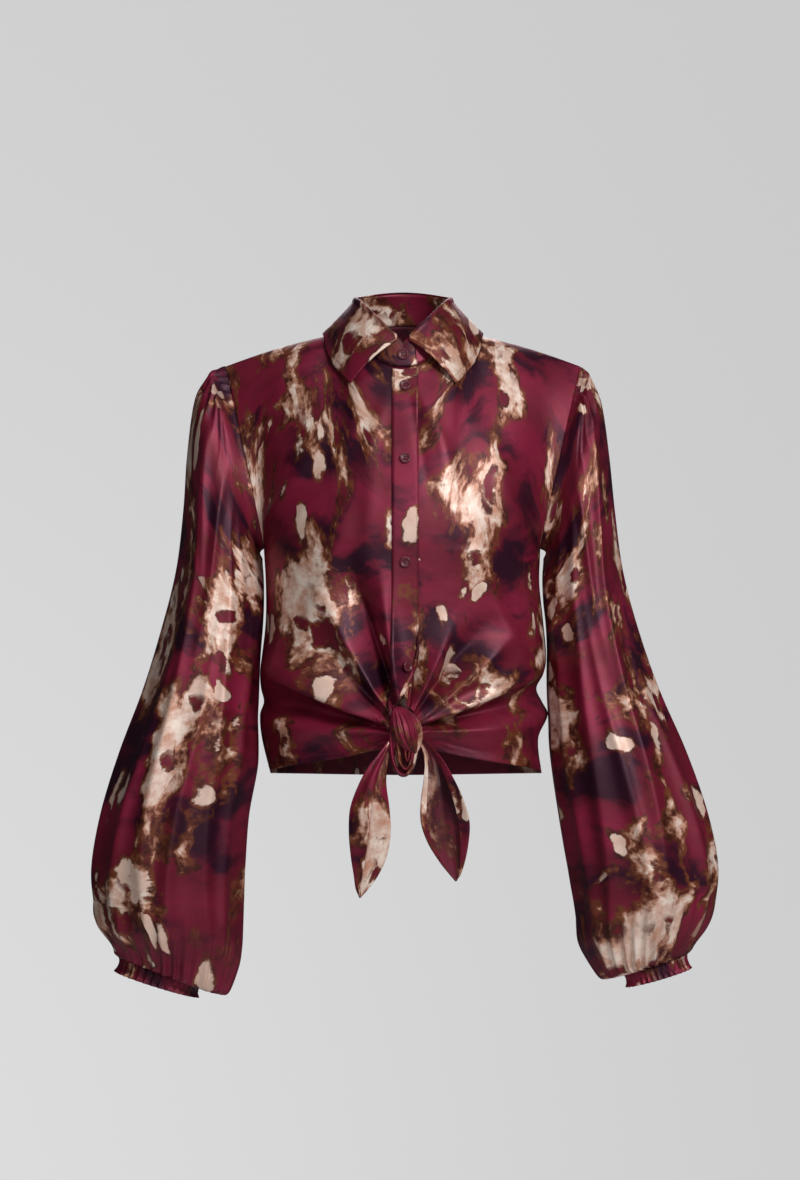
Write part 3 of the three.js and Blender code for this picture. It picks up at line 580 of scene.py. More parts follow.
def weave_group():
    """The fine cross threads and slubs of satin, as a height."""
    group, n, given, out = node_group(
        "satin_weave", [("Vector", "NodeSocketVector")], [("Height", "NodeSocketFloat")])
    threads = n.noise(n.mapped(given["Vector"], (2600, 420, 1)), 1, 2)[0]
    slubs = n.noise(n.mapped(given["Vector"], (90, 900, 1)), 1, 3, 0.6)[0]
    creases = n.noise(given["Vector"], 34, 3, 0.5)[0]
    fine = n.math("ADD", n.math("MULTIPLY", threads, 0.35), n.math("MULTIPLY", slubs, 0.35))
    n.feed(out["Height"], n.math("ADD", fine, n.math("MULTIPLY", creases, 1.6)))
    return group


PRINT = print_group()
WEAVE = weave_group()


def satin_material(name, dullness_and_shade=0):
    material, n, shader = new_material(name)
    spot = n.add("ShaderNodeUVMap", uv_map="cloth").outputs[0]
    colour = n.add("ShaderNodeGroup", {"Vector": spot}, node_tree=PRINT).outputs["Color"]
    weave = n.add("ShaderNodeGroup", {"Vector": spot}, node_tree=WEAVE).outputs["Height"]
    # On the reverse the print is blended towards a dark wine brown as painted shade for the inside of the
    # garment; its extra roughness is the duller weave
    n.feed(shader["Base Color"], n.blend(dullness_and_shade, colour, srgb(70, 30, 38)) if dullness_and_shade else colour)
    n.feed(shader["Roughness"], n.step(weave, 0.6, 1.6, 0.39 + dullness_and_shade / 3, 0.48 + dullness_and_shade / 3))
    bump = n.add("ShaderNodeBump", {"Height": weave, "Strength": 0.4, "Distance": 0.0007})
    n.feed(shader["Normal"], bump.outputs[0])
    shader["Metallic"].default_value = 0.22
    shader["Specular IOR Level"].default_value = 0.5
    shader["Specular Tint"].default_value = srgb(255, 206, 220)
    return material


def plain_material(name, colour, roughness, coat=0, grain=900):
    material, n, shader = new_material(name)
    speckle = n.noise(n.add("ShaderNodeTexCoord").outputs["Object"], grain, 3, 0.6)[0]
    darker = tuple(value * 0.72 for value in colour[:3]) + (1,)
    n.feed(shader["Base Color"], n.blend(n.step(speckle, 0.35, 0.7), darker, colour))
    n.feed(shader["Roughness"], n.step(speckle, 0.3, 0.7, roughness * 0.85, roughness * 1.15))
    bump = n.add("ShaderNodeBump", {"Height": speckle, "Strength": 0.3, "Distance": 0.00008})
    n.feed(shader["Normal"], bump.outputs[0])
    shader["Coat Weight"].default_value = coat
    return material


satin = satin_material("printed_satin")
# The inner face of single cloth: rougher, and darker as painted shade
shaded_reverse = satin_material("satin_reverse_shaded", 0.45)
thread = plain_material("thread", srgb(84, 26, 44), 0.6, grain=4000)
resin = plain_material("button_resin", srgb(108, 34, 48), 0.38, coat=0.12)
# Near black for the painted shade inside the buttonholes
hole = plain_material("hole_shadow", srgb(24, 8, 12), 0.8)

# Fronts, back and button band
PANEL = Sizes(width=262, upper_length=232, lower_length=246, upper_share=0.45, crowding=1.15)
BAND = Sizes(width=27, length=350, lift=1.65, free=5.2, leaves=1.38, off=1.8, top=0.02, end=1.95)


def down_of(v):
    """Even levels above the underarm, closer together towards the knot."""
    share = np.clip((v - PANEL.upper_share) / (1 - PANEL.upper_share), 0, 1)
    return np.where(v < PANEL.upper_share, v / PANEL.upper_share, 2 - (1 - share) ** PANEL.crowding)


def panel_flat(across, down, offset):
    lower = PANEL.upper_length + PANEL.lower_length * (down - 1)
    return PANEL.width * across + offset[0], offset[1] - np.where(down < 1, PANEL.upper_length * down, lower)


def make_panel(name, face, columns, rows, across_of, offset):
    """A front or the back; across_of(u, v) runs from one of its edges to the other."""
    def place(u, v):
        return body_point(across_of(u, v), down_of(v), face)

    def flat(u, v):
        return panel_flat(across_of(u, v), down_of(v), offset)

    return make_cloth(name, columns, rows, place, flat)


def make_front(name, side, offset):
    def from_edge(u, v):
        levels, inverse = np.unique(np.round(v, 6), return_inverse=True)
        down = down_of(levels)
        closing = closing_at(down)
        edge = across_at(closing.right_edge if side == WEARERS_RIGHT else closing.left_edge, down)
        return mix(edge[inverse], side, u ** 1.2)

    return make_panel(name, FRONT, 150, 170, from_edge, offset)


def band_lift(down):
    return BAND.lift + BAND.free * smooth(BAND.leaves, BAND.off, down)


def band_point(share, down):
    """A point of the button band, share from its right edge to its left edge."""
    closing = closing_at(down)
    across = across_at(mix(closing.band_right, closing.band_left, share), down)
    away = mix(body_normal(across, down, FRONT), AHEAD, smooth(1.2, 1.5, down)[..., None])
    return body_point(across, down, FRONT) + unit(away) * band_lift(down)[..., None]


def turned_edge_point(u, v):
    """The band's left edge, which turns over where it is drawn into the knot."""
    turn = FULL_TURN * u
    down = mix(1.5, BAND.end, v)
    swell = np.sin(math.pi * np.clip(v, 0.001, 1)) ** 0.35
    middle = band_point(1 + 0 * down, down)
    x = middle[:, 0] + (0.6 + 3.4 * v) * swell * np.cos(turn + 0.4)
    y = middle[:, 1] - 1.5 - (1 + 1.8 * v) * swell * np.sin(turn)
    return xyz(x, y, middle[:, 2])


front_right = make_front("front_right", WEARERS_RIGHT, (700, 240))
front_left = make_front("front_left", WEARERS_LEFT, (320, -1480))
back = make_panel("back", BACK, 150, 130, lambda u, v: 2 * u - 1, (900, -700))
placket = make_cloth("placket", 10, 150, lambda u, v: band_point(u, mix(BAND.top, BAND.end, v)),
                     laid_out(BAND.width, BAND.length, (1500, -900)), doubled=True)
make_bundle("band_turned_edge", 20, 90, turned_edge_point, laid_out(14, 90, (-60, -1480)))

# Collar
STAND = Sizes(half_width=50, front=66, back=50, front_z=-11, side_rise=49, back_rise=8,
              under_end=-0.19, over_end=0.22, over_lift=1.7, belly=0.6, clear=0.8)
FALL = Sizes(start=0.12, belly=4, side_flat=1.1)
# The roll on the stand's upper edge, outwards and up, and its share of the fall
FALL_ROLL = np.array([(-0.6, 1.7), (0.7, 1.9), (2.1, 0.9), (3.1, -1.2), (3.6, -4)])
ROLL_SHARE = 0.16
FALL_EDGE = Table("turn across down lift", [
    [0.12, 0.22, 0.332, 4.5],
    [0.35, 0.252, 0.328, 4],
    [0.6, 0.296, 0.32, 4],
    [0.85, 0.348, 0.296, 4],
    [1.1, 0.376, 0.26, 4],
    [1.3, 0.404, 0.204, 4],
    [1.45, 0.424, 0.11, 4],
    [1.5708, 0.436, 0, 4],
    [1.9, 0.37, 0.07, 3.5],
    [2.3, 0.25, 0.09, 3.5],
    [2.7, 0.13, 0.08, 3.5],
    [3.1416, 0, 0.075, 3.5],
])


def on_both_faces(turn, make):
    return np.where((np.cos(turn) >= 0)[..., None], make(FRONT), make(BACK))


def neck_point(turn):
    share = np.arcsin(np.clip(np.abs(np.sin(turn)), 0, 1)) / QUARTER_TURN
    across = np.where(np.sin(turn) < 0, -1, 1) * share * NECK_SHARE
    return on_both_faces(turn, lambda face: top_point(across, face))


def stand_top(turn):
    forward = np.cos(turn)
    depth = np.where(forward >= 0, STAND.front, STAND.back)
    back_rise = STAND.side_rise + STAND.back_rise * forward ** 2
    rise = np.where(forward >= 0, STAND.side_rise * np.abs(np.sin(turn)), back_rise)
    return xyz(STAND.half_width * np.sin(turn), -depth * forward, STAND.front_z + rise)


def away_from_neck(points):
    return unit(points * np.array([1.0, 1.0, 0.0]))


def stand_point(turn, share):
    base = neck_point(turn) + STAND.clear * UP
    over = STAND.over_lift * smooth(FULL_TURN - 0.75, FULL_TURN - 0.3, turn)
    belly = STAND.belly * np.sin(math.pi * share)
    return mix(base, stand_top(turn), share[..., None]) + away_from_neck(base) * (over + belly)[..., None]


def stand_place(u, v):
    turn = mix(STAND.under_end, FULL_TURN + STAND.over_end, u)
    height = mix(0.55, 1, smooth(0, 0.035, np.minimum(u, 1 - u)) ** 0.5)
    return stand_point(turn, (1 - v) * height)


def fall_point(turn, share):
    """The fall of the collar: share 0 is its roll on the stand's upper edge, 1 the outer edge of its leaf."""
    mirrored = turn > math.pi
    half = np.where(mirrored, FULL_TURN - turn, turn)
    over = STAND.over_lift * (1 - smooth(0.3, 0.75, half))
    top = stand_top(half)
    away = away_from_neck(top)
    places = np.linspace(0, 1, len(FALL_ROLL))
    roll_share = np.clip(share / ROLL_SHARE, 0, 1)
    out, rise = (np.interp(roll_share, places, column) for column in FALL_ROLL.T)
    rolled = top + away * (out + over)[..., None] + UP * rise[..., None]
    row = FALL_EDGE.at(half)
    down = np.maximum(row.down, 0.001)
    end = on_both_faces(half, lambda face: body_point(row.across, down, face)
                        + body_normal(row.across, down, face) * row.lift[..., None])
    leaf_share = np.clip((share - ROLL_SHARE) / (1 - ROLL_SHARE), 0, 1)
    flatter = 1 - FALL.side_flat * np.exp(-((half - QUARTER_TURN) / 0.55) ** 2)
    belly = FALL.belly * flatter * np.sin(math.pi * leaf_share)
    points = mix(rolled, end, leaf_share[..., None]) + (away + UP) * belly[..., None]
    points[..., 0] = np.where(mirrored, -points[..., 0], points[..., 0])
    return points


def fall_place(u, v):
    return fall_point(mix(FALL.start, FULL_TURN - FALL.start, u), v)


collar_stand = make_cloth("collar_stand", 180, 12, stand_place, laid_out(400, 34, (1200, 300)), doubled=True)
collar_fall = make_cloth("collar_fall", 200, 44, fall_place, laid_out(420, 66, (-500, 1300)), doubled=True)


# Sleeves
def sleeve_levels(rows):
    """The rings of a sleeve, numbered from 1 below the armhole to the elastic."""
    names = "level outer_x outer_z inner_x inner_z depth middle_y"
    return Table(names, [[number, *row] for number, row in enumerate(rows, 1)])


SLEEVES = {
    WEARERS_LEFT: sleeve_levels([
        [199, -44, 150, -229, 47, 0],
        [209, -70, 152, -237, 54, 0],
        [217, -124, 153, -250, 60, 0],
        [223, -184, 154, -272, 63, -1],
        [231, -247, 155, -306, 67, -2],
        [247, -310, 156, -346, 72, -3],
        [269, -373, 157, -392, 77, -4],
        [297, -436, 159, -442, 81, -6],
        [320, -499, 165, -502, 83, -7],
        [332, -552, 172, -556, 81, -9],
        [330, -588, 180, -606, 75, -10],
        [319, -620, 188, -646, 63, -11],
        [305, -640, 204, -674, 46, -12],
        [297, -649, 231, -669, 33, -12],
    ]),
    WEARERS_RIGHT: sleeve_levels([
        [205, -39, 150, -229, 47, 0],
        [219, -66, 152, -237, 54, 0],
        [227, -122, 153, -250, 60, 0],
        [231, -184, 154, -272, 63, -1],
        [238, -247, 155, -306, 67, -2],
        [253, -310, 155, -346, 72, -3],
        [272, -373, 155, -392, 77, -4],
        [296, -436, 156, -442, 81, -6],
        [316, -499, 164, -504, 83, -7],
        [327, -556, 166, -566, 81, -9],
        [325, -594, 168, -620, 75, -10],
        [316, -624, 172, -664, 63, -11],
        [303, -645, 186, -691, 46, -12],
        [296, -653, 212, -680, 33, -12],
    ]),
}
LAST_LEVEL = 14
PHASES = {WEARERS_RIGHT: 0.4, WEARERS_LEFT: 1.7}
SLEEVE_AXIS_X = 230
SEAM_ALLOWANCE = 9
SLEEVE_GIRTH = 480
# Length of cloth from the armhole seam down to a few of the levels
CLOTH_LEVELS = [0, 3, 8, 11, LAST_LEVEL]
CLOTH_LENGTHS = [0, 110, 440, 600, 670]
GATHERS = 34
GATHER_HEIGHT = 4.2
GATHER_SETTLE = 1.6
CAP_PLEATS = 50
CAP_HEIGHT = 3.8
CAP_HOLLOW = 4.5
SAG = Sizes(level=11.4, width=0.5, height=4.2)
# Long soft folds of the sleeve: where they lie round it and along it, and their size
SLEEVE_FOLDS = Table("turn slope middle length height width", [
    [0.3, 0.03, 8.5, 4.5, 5, 0.14],
    [0.8, -0.02, 10, 4, 7, 0.12],
    [1.2, 0.04, 8, 5, 7, 0.13],
    [1.62, -0.03, 10, 4, 6, 0.11],
    [2.0, 0.03, 8, 5, 8, 0.13],
    [2.45, -0.02, 10, 4.5, 7, 0.12],
    [2.85, 0.03, 8.5, 4.5, 5, 0.13],
    [3.5, 0.02, 9.5, 4, 5, 0.13],
    [4.05, -0.03, 8.5, 5, 7, 0.13],
    [4.6, 0.03, 9.5, 4.5, 7, 0.13],
    [5.1, -0.02, 8.5, 4.5, 7, 0.14],
    [5.7, 0.02, 10, 4, 5, 0.13],
    [1.0, 0.07, 2.8, 2, 4, 0.12],
    [1.55, -0.05, 3.6, 2.2, 4.5, 0.13],
    [2.2, 0.06, 3, 2.2, 4.5, 0.12],
    [2.7, -0.1, 4.2, 1.8, 3.5, 0.1],
    [4.1, 0.05, 3.4, 2.2, 4, 0.13],
    [4.9, -0.05, 3.6, 2.2, 4, 0.13],
])
# How much fuller each sleeve is on its inner side, where it hangs against the body
SLEEVE_FILL = Table("z right left", [
    [-560, 0, 0],
    [-500, 2.5, 2],
    [-454, 5, 4],
    [-428, 4.2, 5],
    [-404, 3.6, 5],
    [-379, 5, 6],
    [-355, 6.4, 6.2],
    [-330, 8.2, 5.6],
    [-304, 10, 6.4],
    [-280, 10, 8.4],
    [-255, 8.2, 8],
    [-231, 4, 4],
    [-205, 0, 0],
])


def ring_point(side, row, turn):
    outer = xyz(side * row.outer_x, row.middle_y, row.outer_z)
    inner = xyz(side * row.inner_x, row.middle_y, row.inner_z)
    spoke = (outer - inner) / 2 * np.cos(turn)[..., None]
    spoke[..., 1] -= row.depth * np.sin(turn)
    return (outer + inner) / 2 + spoke, unit(spoke)


def armhole_point(side, turn):
    share = np.minimum(turn, FULL_TURN - turn) / math.pi
    across = np.full_like(turn, side)
    ahead = (turn <= math.pi)[..., None]
    point = np.where(ahead, body_point(across, share, FRONT), body_point(across, share, BACK))
    point[..., 0] += side * SEAM_GAP * 2
    middle_z = (SHOULDER_TIP.z + UNDERARM_Z) / 2
    return point, unit(xyz(0 * turn, point[..., 1], point[..., 2] - middle_z))


def uneven(turn, phase):
    return 0.72 + 0.28 * np.sin(turn * 5 + phase) * np.cos(turn * 3 + 2 * phase)


def pinched(angle):
    """A wave from -1 to 1 with narrow crests, as cloth makes when it is gathered."""
    return 1 - 2 * np.abs(np.sin(angle / 2)) ** 0.8


def sleeve_gathers(turn, level, phase):
    """Height of the pleats at the sleeve head and of the gathers above the elastic, in millimetres."""
    wave = pinched(turn * GATHERS + 1.2 * np.sin(3 * turn + phase) + phase)
    long_wave = 0.6 * np.cos(turn * 13 + phase)
    wrist = (wave + long_wave * smooth(13.5, 11.5, level)) * uneven(turn, phase)
    settle = GATHER_SETTLE * smooth(13.2, LAST_LEVEL, level)
    wrist = wrist * (GATHER_HEIGHT * smooth(10.4, 13, level) - settle)
    from_top = np.where(turn > math.pi, turn - FULL_TURN, turn) / mix(1, 2.1, smooth(0, 1.8, level))
    head = pinched(from_top * CAP_PLEATS + 1.3 * np.sin(6 * from_top + phase)) - 0.1
    head = head * (0.7 + 0.3 * np.sin(from_top * 19 + phase)) * smooth(0.85, 0.4, np.abs(from_top))
    head = CAP_HEIGHT * head * smooth(2.7, 0.5, level) * smooth(-0.3, 0.3, level)
    hollow = np.exp(-(from_top / 0.6) ** 2) * smooth(0, 0.6, level) * smooth(2.4, 1, level)
    return wrist + head - CAP_HOLLOW * hollow


def sleeve_folds(turn, level, phase):
    height = 0 * turn
    for fold in SLEEVE_FOLDS.each():
        below = level - fold.middle
        line = fold.turn + fold.slope * below + 0.08 * math.sin(phase * 3 + fold.turn * 7)
        off = (turn - line + math.pi) % FULL_TURN - math.pi
        along = below / fold.length
        height += fold.height * np.exp(-np.abs(off / fold.width) ** 1.6 - along ** 2)
    return height - 2.2


def sleeve_sag(turn, level, phase):
    """The soft roll where the full cloth hangs over, and the hollow below it."""
    below = (level - SAG.level - 0.3 * np.sin(2 * turn + phase)) / SAG.width
    roll = np.exp(-below ** 2) - 0.8 * np.exp(-(below - 2) ** 2)
    return SAG.height * roll * (0.6 + 0.4 * np.sin(turn + 2 * phase))


def sleeve_point(side, turn, level):
    """Level 0 is the armhole seam, the last level the elastic; turn 0 is the outer side, then the front."""
    def ring(held):
        return ring_point(side, SLEEVES[side].at(held), turn)

    phase = PHASES[side]
    point, out = ring(np.maximum(level, 1))
    first, _ = ring(np.ones_like(level))
    second, _ = ring(np.full_like(level, 2))
    seam, seam_out = armhole_point(side, turn)
    share = np.clip(level, 0, 1)[..., None]
    leave = (first - seam) * np.array([1.15, 0.85, 0.6])
    near = (level < 1)[..., None]
    point = np.where(near, hermite(seam, first, leave, second - first, share), point)
    out = np.where(near, unit(mix(seam_out, out, share)), out)
    height = sleeve_folds(turn, level, phase) * smooth(1, 3, level) * smooth(13.6, 12.4, level)
    height = height + sleeve_gathers(turn, level, phase) + sleeve_sag(turn, level, phase)
    fill = SLEEVE_FILL.at(point[..., 2])
    fill = fill.left if side == WEARERS_LEFT else fill.right
    point[..., 0] -= side * fill * np.clip(-np.cos(turn), 0, 1) ** 1.5 * smooth(1, 2, level)
    turned_in = np.maximum(-level, 0)[..., None] * SEAM_ALLOWANCE
    return point + out * height[..., None] - (seam_out + np.array([side, 0, 0])) * turned_in


def make_sleeve(name, side, offset):
    def level_of(v):
        return mix(-0.5, LAST_LEVEL, v)

    def place(u, v):
        """Round from the seam on the inner side to it again, closer together over the head."""
        turn = (FULL_TURN * u + math.pi + 0.3 * np.sin(FULL_TURN * u)) % FULL_TURN
        return sleeve_point(side, turn, level_of(v))

    def flat(u, v):
        along = np.interp(level_of(v), CLOTH_LEVELS, CLOTH_LENGTHS)
        return offset[0] + SLEEVE_GIRTH * (u - 0.5), offset[1] - along

    return make_cloth(name, 270, 170, place, flat, outward=from_line(side * SLEEVE_AXIS_X, 0), close=True)


sleeve_right = make_sleeve("sleeve_right", WEARERS_RIGHT, (-1120, 760))
sleeve_left = make_sleeve("sleeve_left", WEARERS_LEFT, (2300, -400))

CUFF = Table("along out gather", [
    [0.2, 0, 2.6],
    [4, -0.6, 1.1],
    [8.5, -0.6, 1.0],
    [11, -0.3, 1.5],
    [15, 0.9, 2.2],
])
CUFF_TOP = 0.2
CUFF_DEPTH = 15


def wrist_middle(side):
    last = SLEEVES[side].at(LAST_LEVEL)
    x = side * (last.outer_x + last.inner_x) / 2
    return np.array([x, last.middle_y, (last.outer_z + last.inner_z) / 2])


def cuff_point(side, turn, along):
    row = SLEEVES[side].at(LAST_LEVEL + 0 * turn)
    across = unit(xyz(row.outer_x - row.inner_x, 0 * turn, row.outer_z - row.inner_z))
    step = CUFF.at(along)
    row.outer_x = row.outer_x + step.out
    row.inner_x = row.inner_x - step.out
    row.depth = row.depth + step.out
    ring, out = ring_point(side, row, turn)
    axis = xyz(side * across[..., 2], 0 * turn, -across[..., 0])
    phase = PHASES[side]
    wave = pinched(turn * GATHERS + 1.2 * np.sin(3 * turn + phase) + phase) * uneven(turn, phase)
    frill = 0.5 * np.cos(turn * 2 * GATHERS + phase) * smooth(9, CUFF_DEPTH, along)
    return ring + out * (step.gather * (wave + frill))[..., None] + axis * along[..., None]


def make_cuff(name, side, offset):
    def place(u, v):
        return cuff_point(side, u * FULL_TURN, mix(CUFF_TOP, CUFF_DEPTH, v))

    x, y, _ = wrist_middle(side)
    flat = laid_out(SLEEVE_GIRTH, CUFF_DEPTH, offset)
    return make_cloth(name, 260, 16, place, flat, outward=from_line(x, y), close=True)


cuff_right = make_cuff("cuff_right", WEARERS_RIGHT, (-1540, -180))
cuff_left = make_cuff("cuff_left", WEARERS_LEFT, (2060, -1090))

# Tie ends and knot
TIE_NAMES = "z x y half_width ridge turn"
TIE_RIGHT = Table(TIE_NAMES, [
    [-420, -10, -131, 4, 0, 0.2],
    [-432, -18, -133, 5.5, 2, 0.2],
    [-446, -25, -135, 9.5, 4, 0.2],
    [-465, -31, -135, 14, 6, 0.1],
    [-490, -34, -133, 20, 7, 0],
    [-515, -34, -131, 21.5, 6, 0],
    [-540, -35, -129, 18.5, 5, 0],
    [-560, -38, -127, 12.5, 4, 0],
    [-574, -42, -125, 6.5, 2, 0],
    [-583, -44, -124, 0.6, 0.4, 0],
])
TIE_LEFT = Table(TIE_NAMES, [
    [-414, 13, -131, 4, 0, -0.3],
    [-424, 21, -134, 5, -2, -0.3],
    [-438, 30, -138, 9, -5, -0.3],
    [-458, 36, -139, 15, -8, -0.2],
    [-482, 40, -137, 22, -9, -0.1],
    [-505, 43, -134, 25, -8, 0],
    [-526, 46, -131, 21, -6, 0],
    [-545, 50, -128, 13.5, -4, 0],
    [-558, 53, -126, 6.5, -2, 0],
    [-566, 54, -125, 0.6, -0.4, 0],
])
# How a tie end is folded along its length, in shares of its half width
OVERLAP = Sizes(top=0.4, tip=-0.5, roll=0.1, depth=0.25)
TURNED_EDGE = Sizes(roll=0.11, left=0.22, right=0.5)
TIE_WIDTH = 80
TIE_LENGTH = 165


def overlapped(u, v):
    """Across and forward of cloth that is folded in three layers at a line down its length."""
    roll, depth = OVERLAP.roll, OVERLAP.depth
    bend = math.pi * roll
    line = mix(OVERLAP.top, OVERLAP.tip, v)
    past = u * (2 + 2 * bend + 2 * depth) - 1 - line
    first = np.clip(past / roll, 0, math.pi)
    between = np.clip(past - bend, 0, depth)
    second = np.clip((past - bend - depth) / roll, 0, math.pi)
    last = np.maximum(past - 2 * bend - depth, 0)
    across = line + np.minimum(past, 0) + roll * (np.sin(first) - np.sin(second)) - between + last
    return across, roll * (2 + np.cos(first) + np.cos(second))


def edge_turned(u, v):
    """Across and forward of cloth whose two long edges are turned over to the front."""
    roll = TURNED_EDGE.roll
    spot = 2 * u - 1
    strip = np.where(spot < 0, TURNED_EDGE.left, TURNED_EDGE.right) * (1 - 0.5 * v)
    along = np.abs(spot) * (1 - roll + math.pi * roll + strip)
    bent = np.clip((along - 1 + roll) / roll, 0, math.pi)
    back = np.maximum(along - (1 - roll) - math.pi * roll, 0)
    across = np.minimum(along, 1 - roll) + roll * np.sin(bent) - back
    return np.sign(spot) * across, roll * (1 - np.cos(bent)) + 0.12 * back


def make_tie(name, table, fold, offset):
    def place(u, v):
        z = mix(table.rows[-1, 0], table.rows[0, 0], v)
        row = table.at(z)
        across, lift = fold(u, v)
        ripple = 0.6 * np.sin(across * 7 + v * 11) * smooth(0, 0.12, v) * smooth(1, 0.6, v)
        ridge = row.ridge * (1 - np.minimum(np.abs(across), 1) ** 1.4)
        reach = across * row.half_width
        forward = lift * row.half_width + ripple + ridge
        return xyz(row.x + reach * np.cos(row.turn), row.y + reach * np.sin(row.turn) - forward, z)

    flat = laid_out(TIE_WIDTH, TIE_LENGTH, (offset[0] - TIE_WIDTH / 2, offset[1]))
    return make_cloth(name, 96, 96, place, flat, outward=lambda centre: Vector(AHEAD))


tie_right = make_tie("tie_end_right", TIE_RIGHT, overlapped, (1210, -420))
tie_left = make_tie("tie_end_left", TIE_LEFT, edge_turned, (640, -1700))


def pleated_bundle(name, start, end, half_width, half_depth, pleats, twist, groove, bend, corner, nodes=()):
    """Cloth bundled round a line, with overlapping pleats that wind along it."""
    start, end = np.array(start, float), np.array(end, float)
    line = unit(end - start)
    sideways = unit(np.cross(line, -AHEAD))
    depthways = unit(np.cross(sideways, line))

    def place(u, v):
        turn = u * FULL_TURN
        swell = np.sin(math.pi * np.clip(v, 0.0001, 0.9999)) ** 0.6
        wind = pleats * turn + twist * v + 0.5 * np.sin(2 * turn)
        overlap = np.sin(wind + 0.75 * np.sin(wind)) * (0.75 + 0.25 * np.cos(3 * turn + 1))
        reach = swell * (1 + groove * overlap)
        across = bend * np.sin(math.pi * v) + half_width * reach * np.cos(turn)
        deep = half_depth * reach * np.sin(turn)
        return mix(start, end, v[..., None]) + sideways * across[..., None] + depthways * deep[..., None]

    make_bundle(name, 180, 60, place, laid_out(90, 60, corner), nodes)


LOOP_Y = -128


def loop_fold(name, middle, half_width, top, bottom, depth, roll, corner, nodes=()):
    """One of the folds of cloth that lie inside each other and turn round below the knot."""
    def place(u, v):
        along = math.pi * v
        turn = FULL_TURN * u
        narrow = roll * (1 + 0.12 * np.sin(turn * 3 + 5 * v))
        x = middle - np.cos(along) * (half_width + narrow * np.cos(turn))
        z = top - (top - bottom) * np.sin(along) ** 0.75 - narrow * np.cos(turn) * np.sin(along)
        return xyz(x, LOOP_Y - 3 * np.sin(along) - depth * np.sin(turn), z)

    make_bundle(name, 32, 48, place, laid_out(26, 90, corner), nodes)


pleated_bundle("knot_wrap", (-8, -131, -387), (13, -136, -435), 14.5, 14, 17, 9.5, 0.11, 1.5, (-620, -1340),
               nodes=["knot_wrap"])
pleated_bundle("knot_side_strand", (2, -130, -387), (17, -134, -432), 8, 10, 6, 3, 0.14, -9, (180, 760))
pleated_bundle("knot_under_strand", (-13, -129, -396), (-9, -130, -438), 7, 9, 5, 2, 0.14, 4, (-700, 260))
loop_fold("knot_loop", 0.5, 13.2, -414, -456.5, 8, 2.5, (1180, -330), nodes=["knot_loop"])
loop_fold("knot_loop_fold_2", 2.2, 7.9, -416, -450.5, 9.8, 2.9, (520, 240))
loop_fold("knot_loop_fold_3", 4.2, 2.4, -419, -442, 10.4, 2.7, (60, -1560))

# Buttons
BUTTON_TILT = 0.12
BUTTON = Sizes(clear=0.5, clear_on_fold=1.5, holes=1.35, hole_radius=0.62, floor=1.42, thread_radius=0.34)
BUTTON_LEVELS = [-57, -133, -239, -346]
BUTTON_PROFILE = [(0, 0.05), (4.9, 0.05), (5.55, 0.35), (5.75, 0.9), (5.7, 1.5), (5.35, 2.1), (4.8, 2.32),
                  (4.2, 2.2), (3.7, 1.75), (3.2, 1.5), (2, 1.42), (0, 1.4)]
RESIN, HOLE_SHADE, THREAD = 0, 1, 2


def add_rod(bm, centre, along, radius, length, sides, material):
    """A short capped rod, which stands for a stitch, a thread or the shadow in a hole."""
    turn = along.to_track_quat("Z", "Y").to_matrix().to_4x4()
    turn.translation = Vector(centre) * MM
    made = bmesh.ops.create_cone(bm, cap_ends=True, segments=sides, radius1=radius * MM, radius2=radius * MM,
                                 depth=length * MM, matrix=turn)["verts"]
    for face in {face for vert in made for face in vert.link_faces}:
        face.material_index = material


def button_mesh():
    bm = bmesh.new()
    ring = [bm.verts.new((x * MM, 0, z * MM)) for x, z in BUTTON_PROFILE]
    chain = [bm.edges.new(pair) for pair in zip(ring, ring[1:])]
    bmesh.ops.spin(bm, geom=ring + chain, cent=(0, 0, 0), axis=(0, 0, 1), angle=FULL_TURN, steps=40,
                   use_merge=True)
    bmesh.ops.remove_doubles(bm, verts=bm.verts, dist=1e-6)
    bmesh.ops.recalc_face_normals(bm, faces=bm.faces)
    for face in bm.faces:
        face.material_index = RESIN
    reach = BUTTON.holes
    # A dark disc deep in each hole, as painted shade
    for x, y in [(1, 1), (1, -1), (-1, 1), (-1, -1)]:
        add_rod(bm, (x * reach, y * reach, BUTTON.floor), Vector(UP), BUTTON.hole_radius, 0.12, 12, HOLE_SHADE)
    for y in (1, -1):
        add_rod(bm, (0, y * reach, 1.75), Vector((1, 0, 0)), BUTTON.thread_radius, 2.9, 8, THREAD)
    return bm


def place_button(number, point, normal, lift):
    bm = button_mesh()
    place = Vector(normal).to_track_quat("Z", "Y").to_matrix().to_4x4()
    place.translation = (Vector(point) + Vector(normal) * lift) * MM
    bmesh.ops.transform(bm, matrix=place, verts=bm.verts)
    name = f"button_{number}"
    return finish_piece(name, bm, [resin, hole, thread], slot="button", nodes=[name])


def down_at(level, x):
    downs = np.linspace(0, 2, 500)
    levels = body_point(across_at(np.full_like(downs, x), downs), downs, FRONT)[..., 2]
    return float(np.interp(-level, -levels, downs))


stand_middle = stand_point(np.array([FULL_TURN]), np.array([0.5]))[0]
place_button(1, stand_middle, unit(AHEAD + BUTTON_TILT * UP), BUTTON.clear)
for number, level in enumerate(BUTTON_LEVELS, 2):
    closing = CLOSING.at(float(level))
    x = (closing.band_right + closing.band_left) / 2
    down = np.array([down_at(level, x)])
    across = across_at(np.array([x]), down)
    clear = BUTTON.clear_on_fold if level == BUTTON_LEVELS[-1] else BUTTON.clear
    lift = band_lift(down)[0] + clear
    place_button(number, body_point(across, down, FRONT)[0], body_normal(across, down, FRONT)[0], lift)

# Stitches
STITCH = Sizes(length=2.1, gap=0.9, radius=0.2, proud=0.12)
BAND_ROWS = (0.1, 0.93)
COLLAR_ROW = 0.92
HEM_ROW = 0.028
CUFF_ROWS = (3.2, 9)


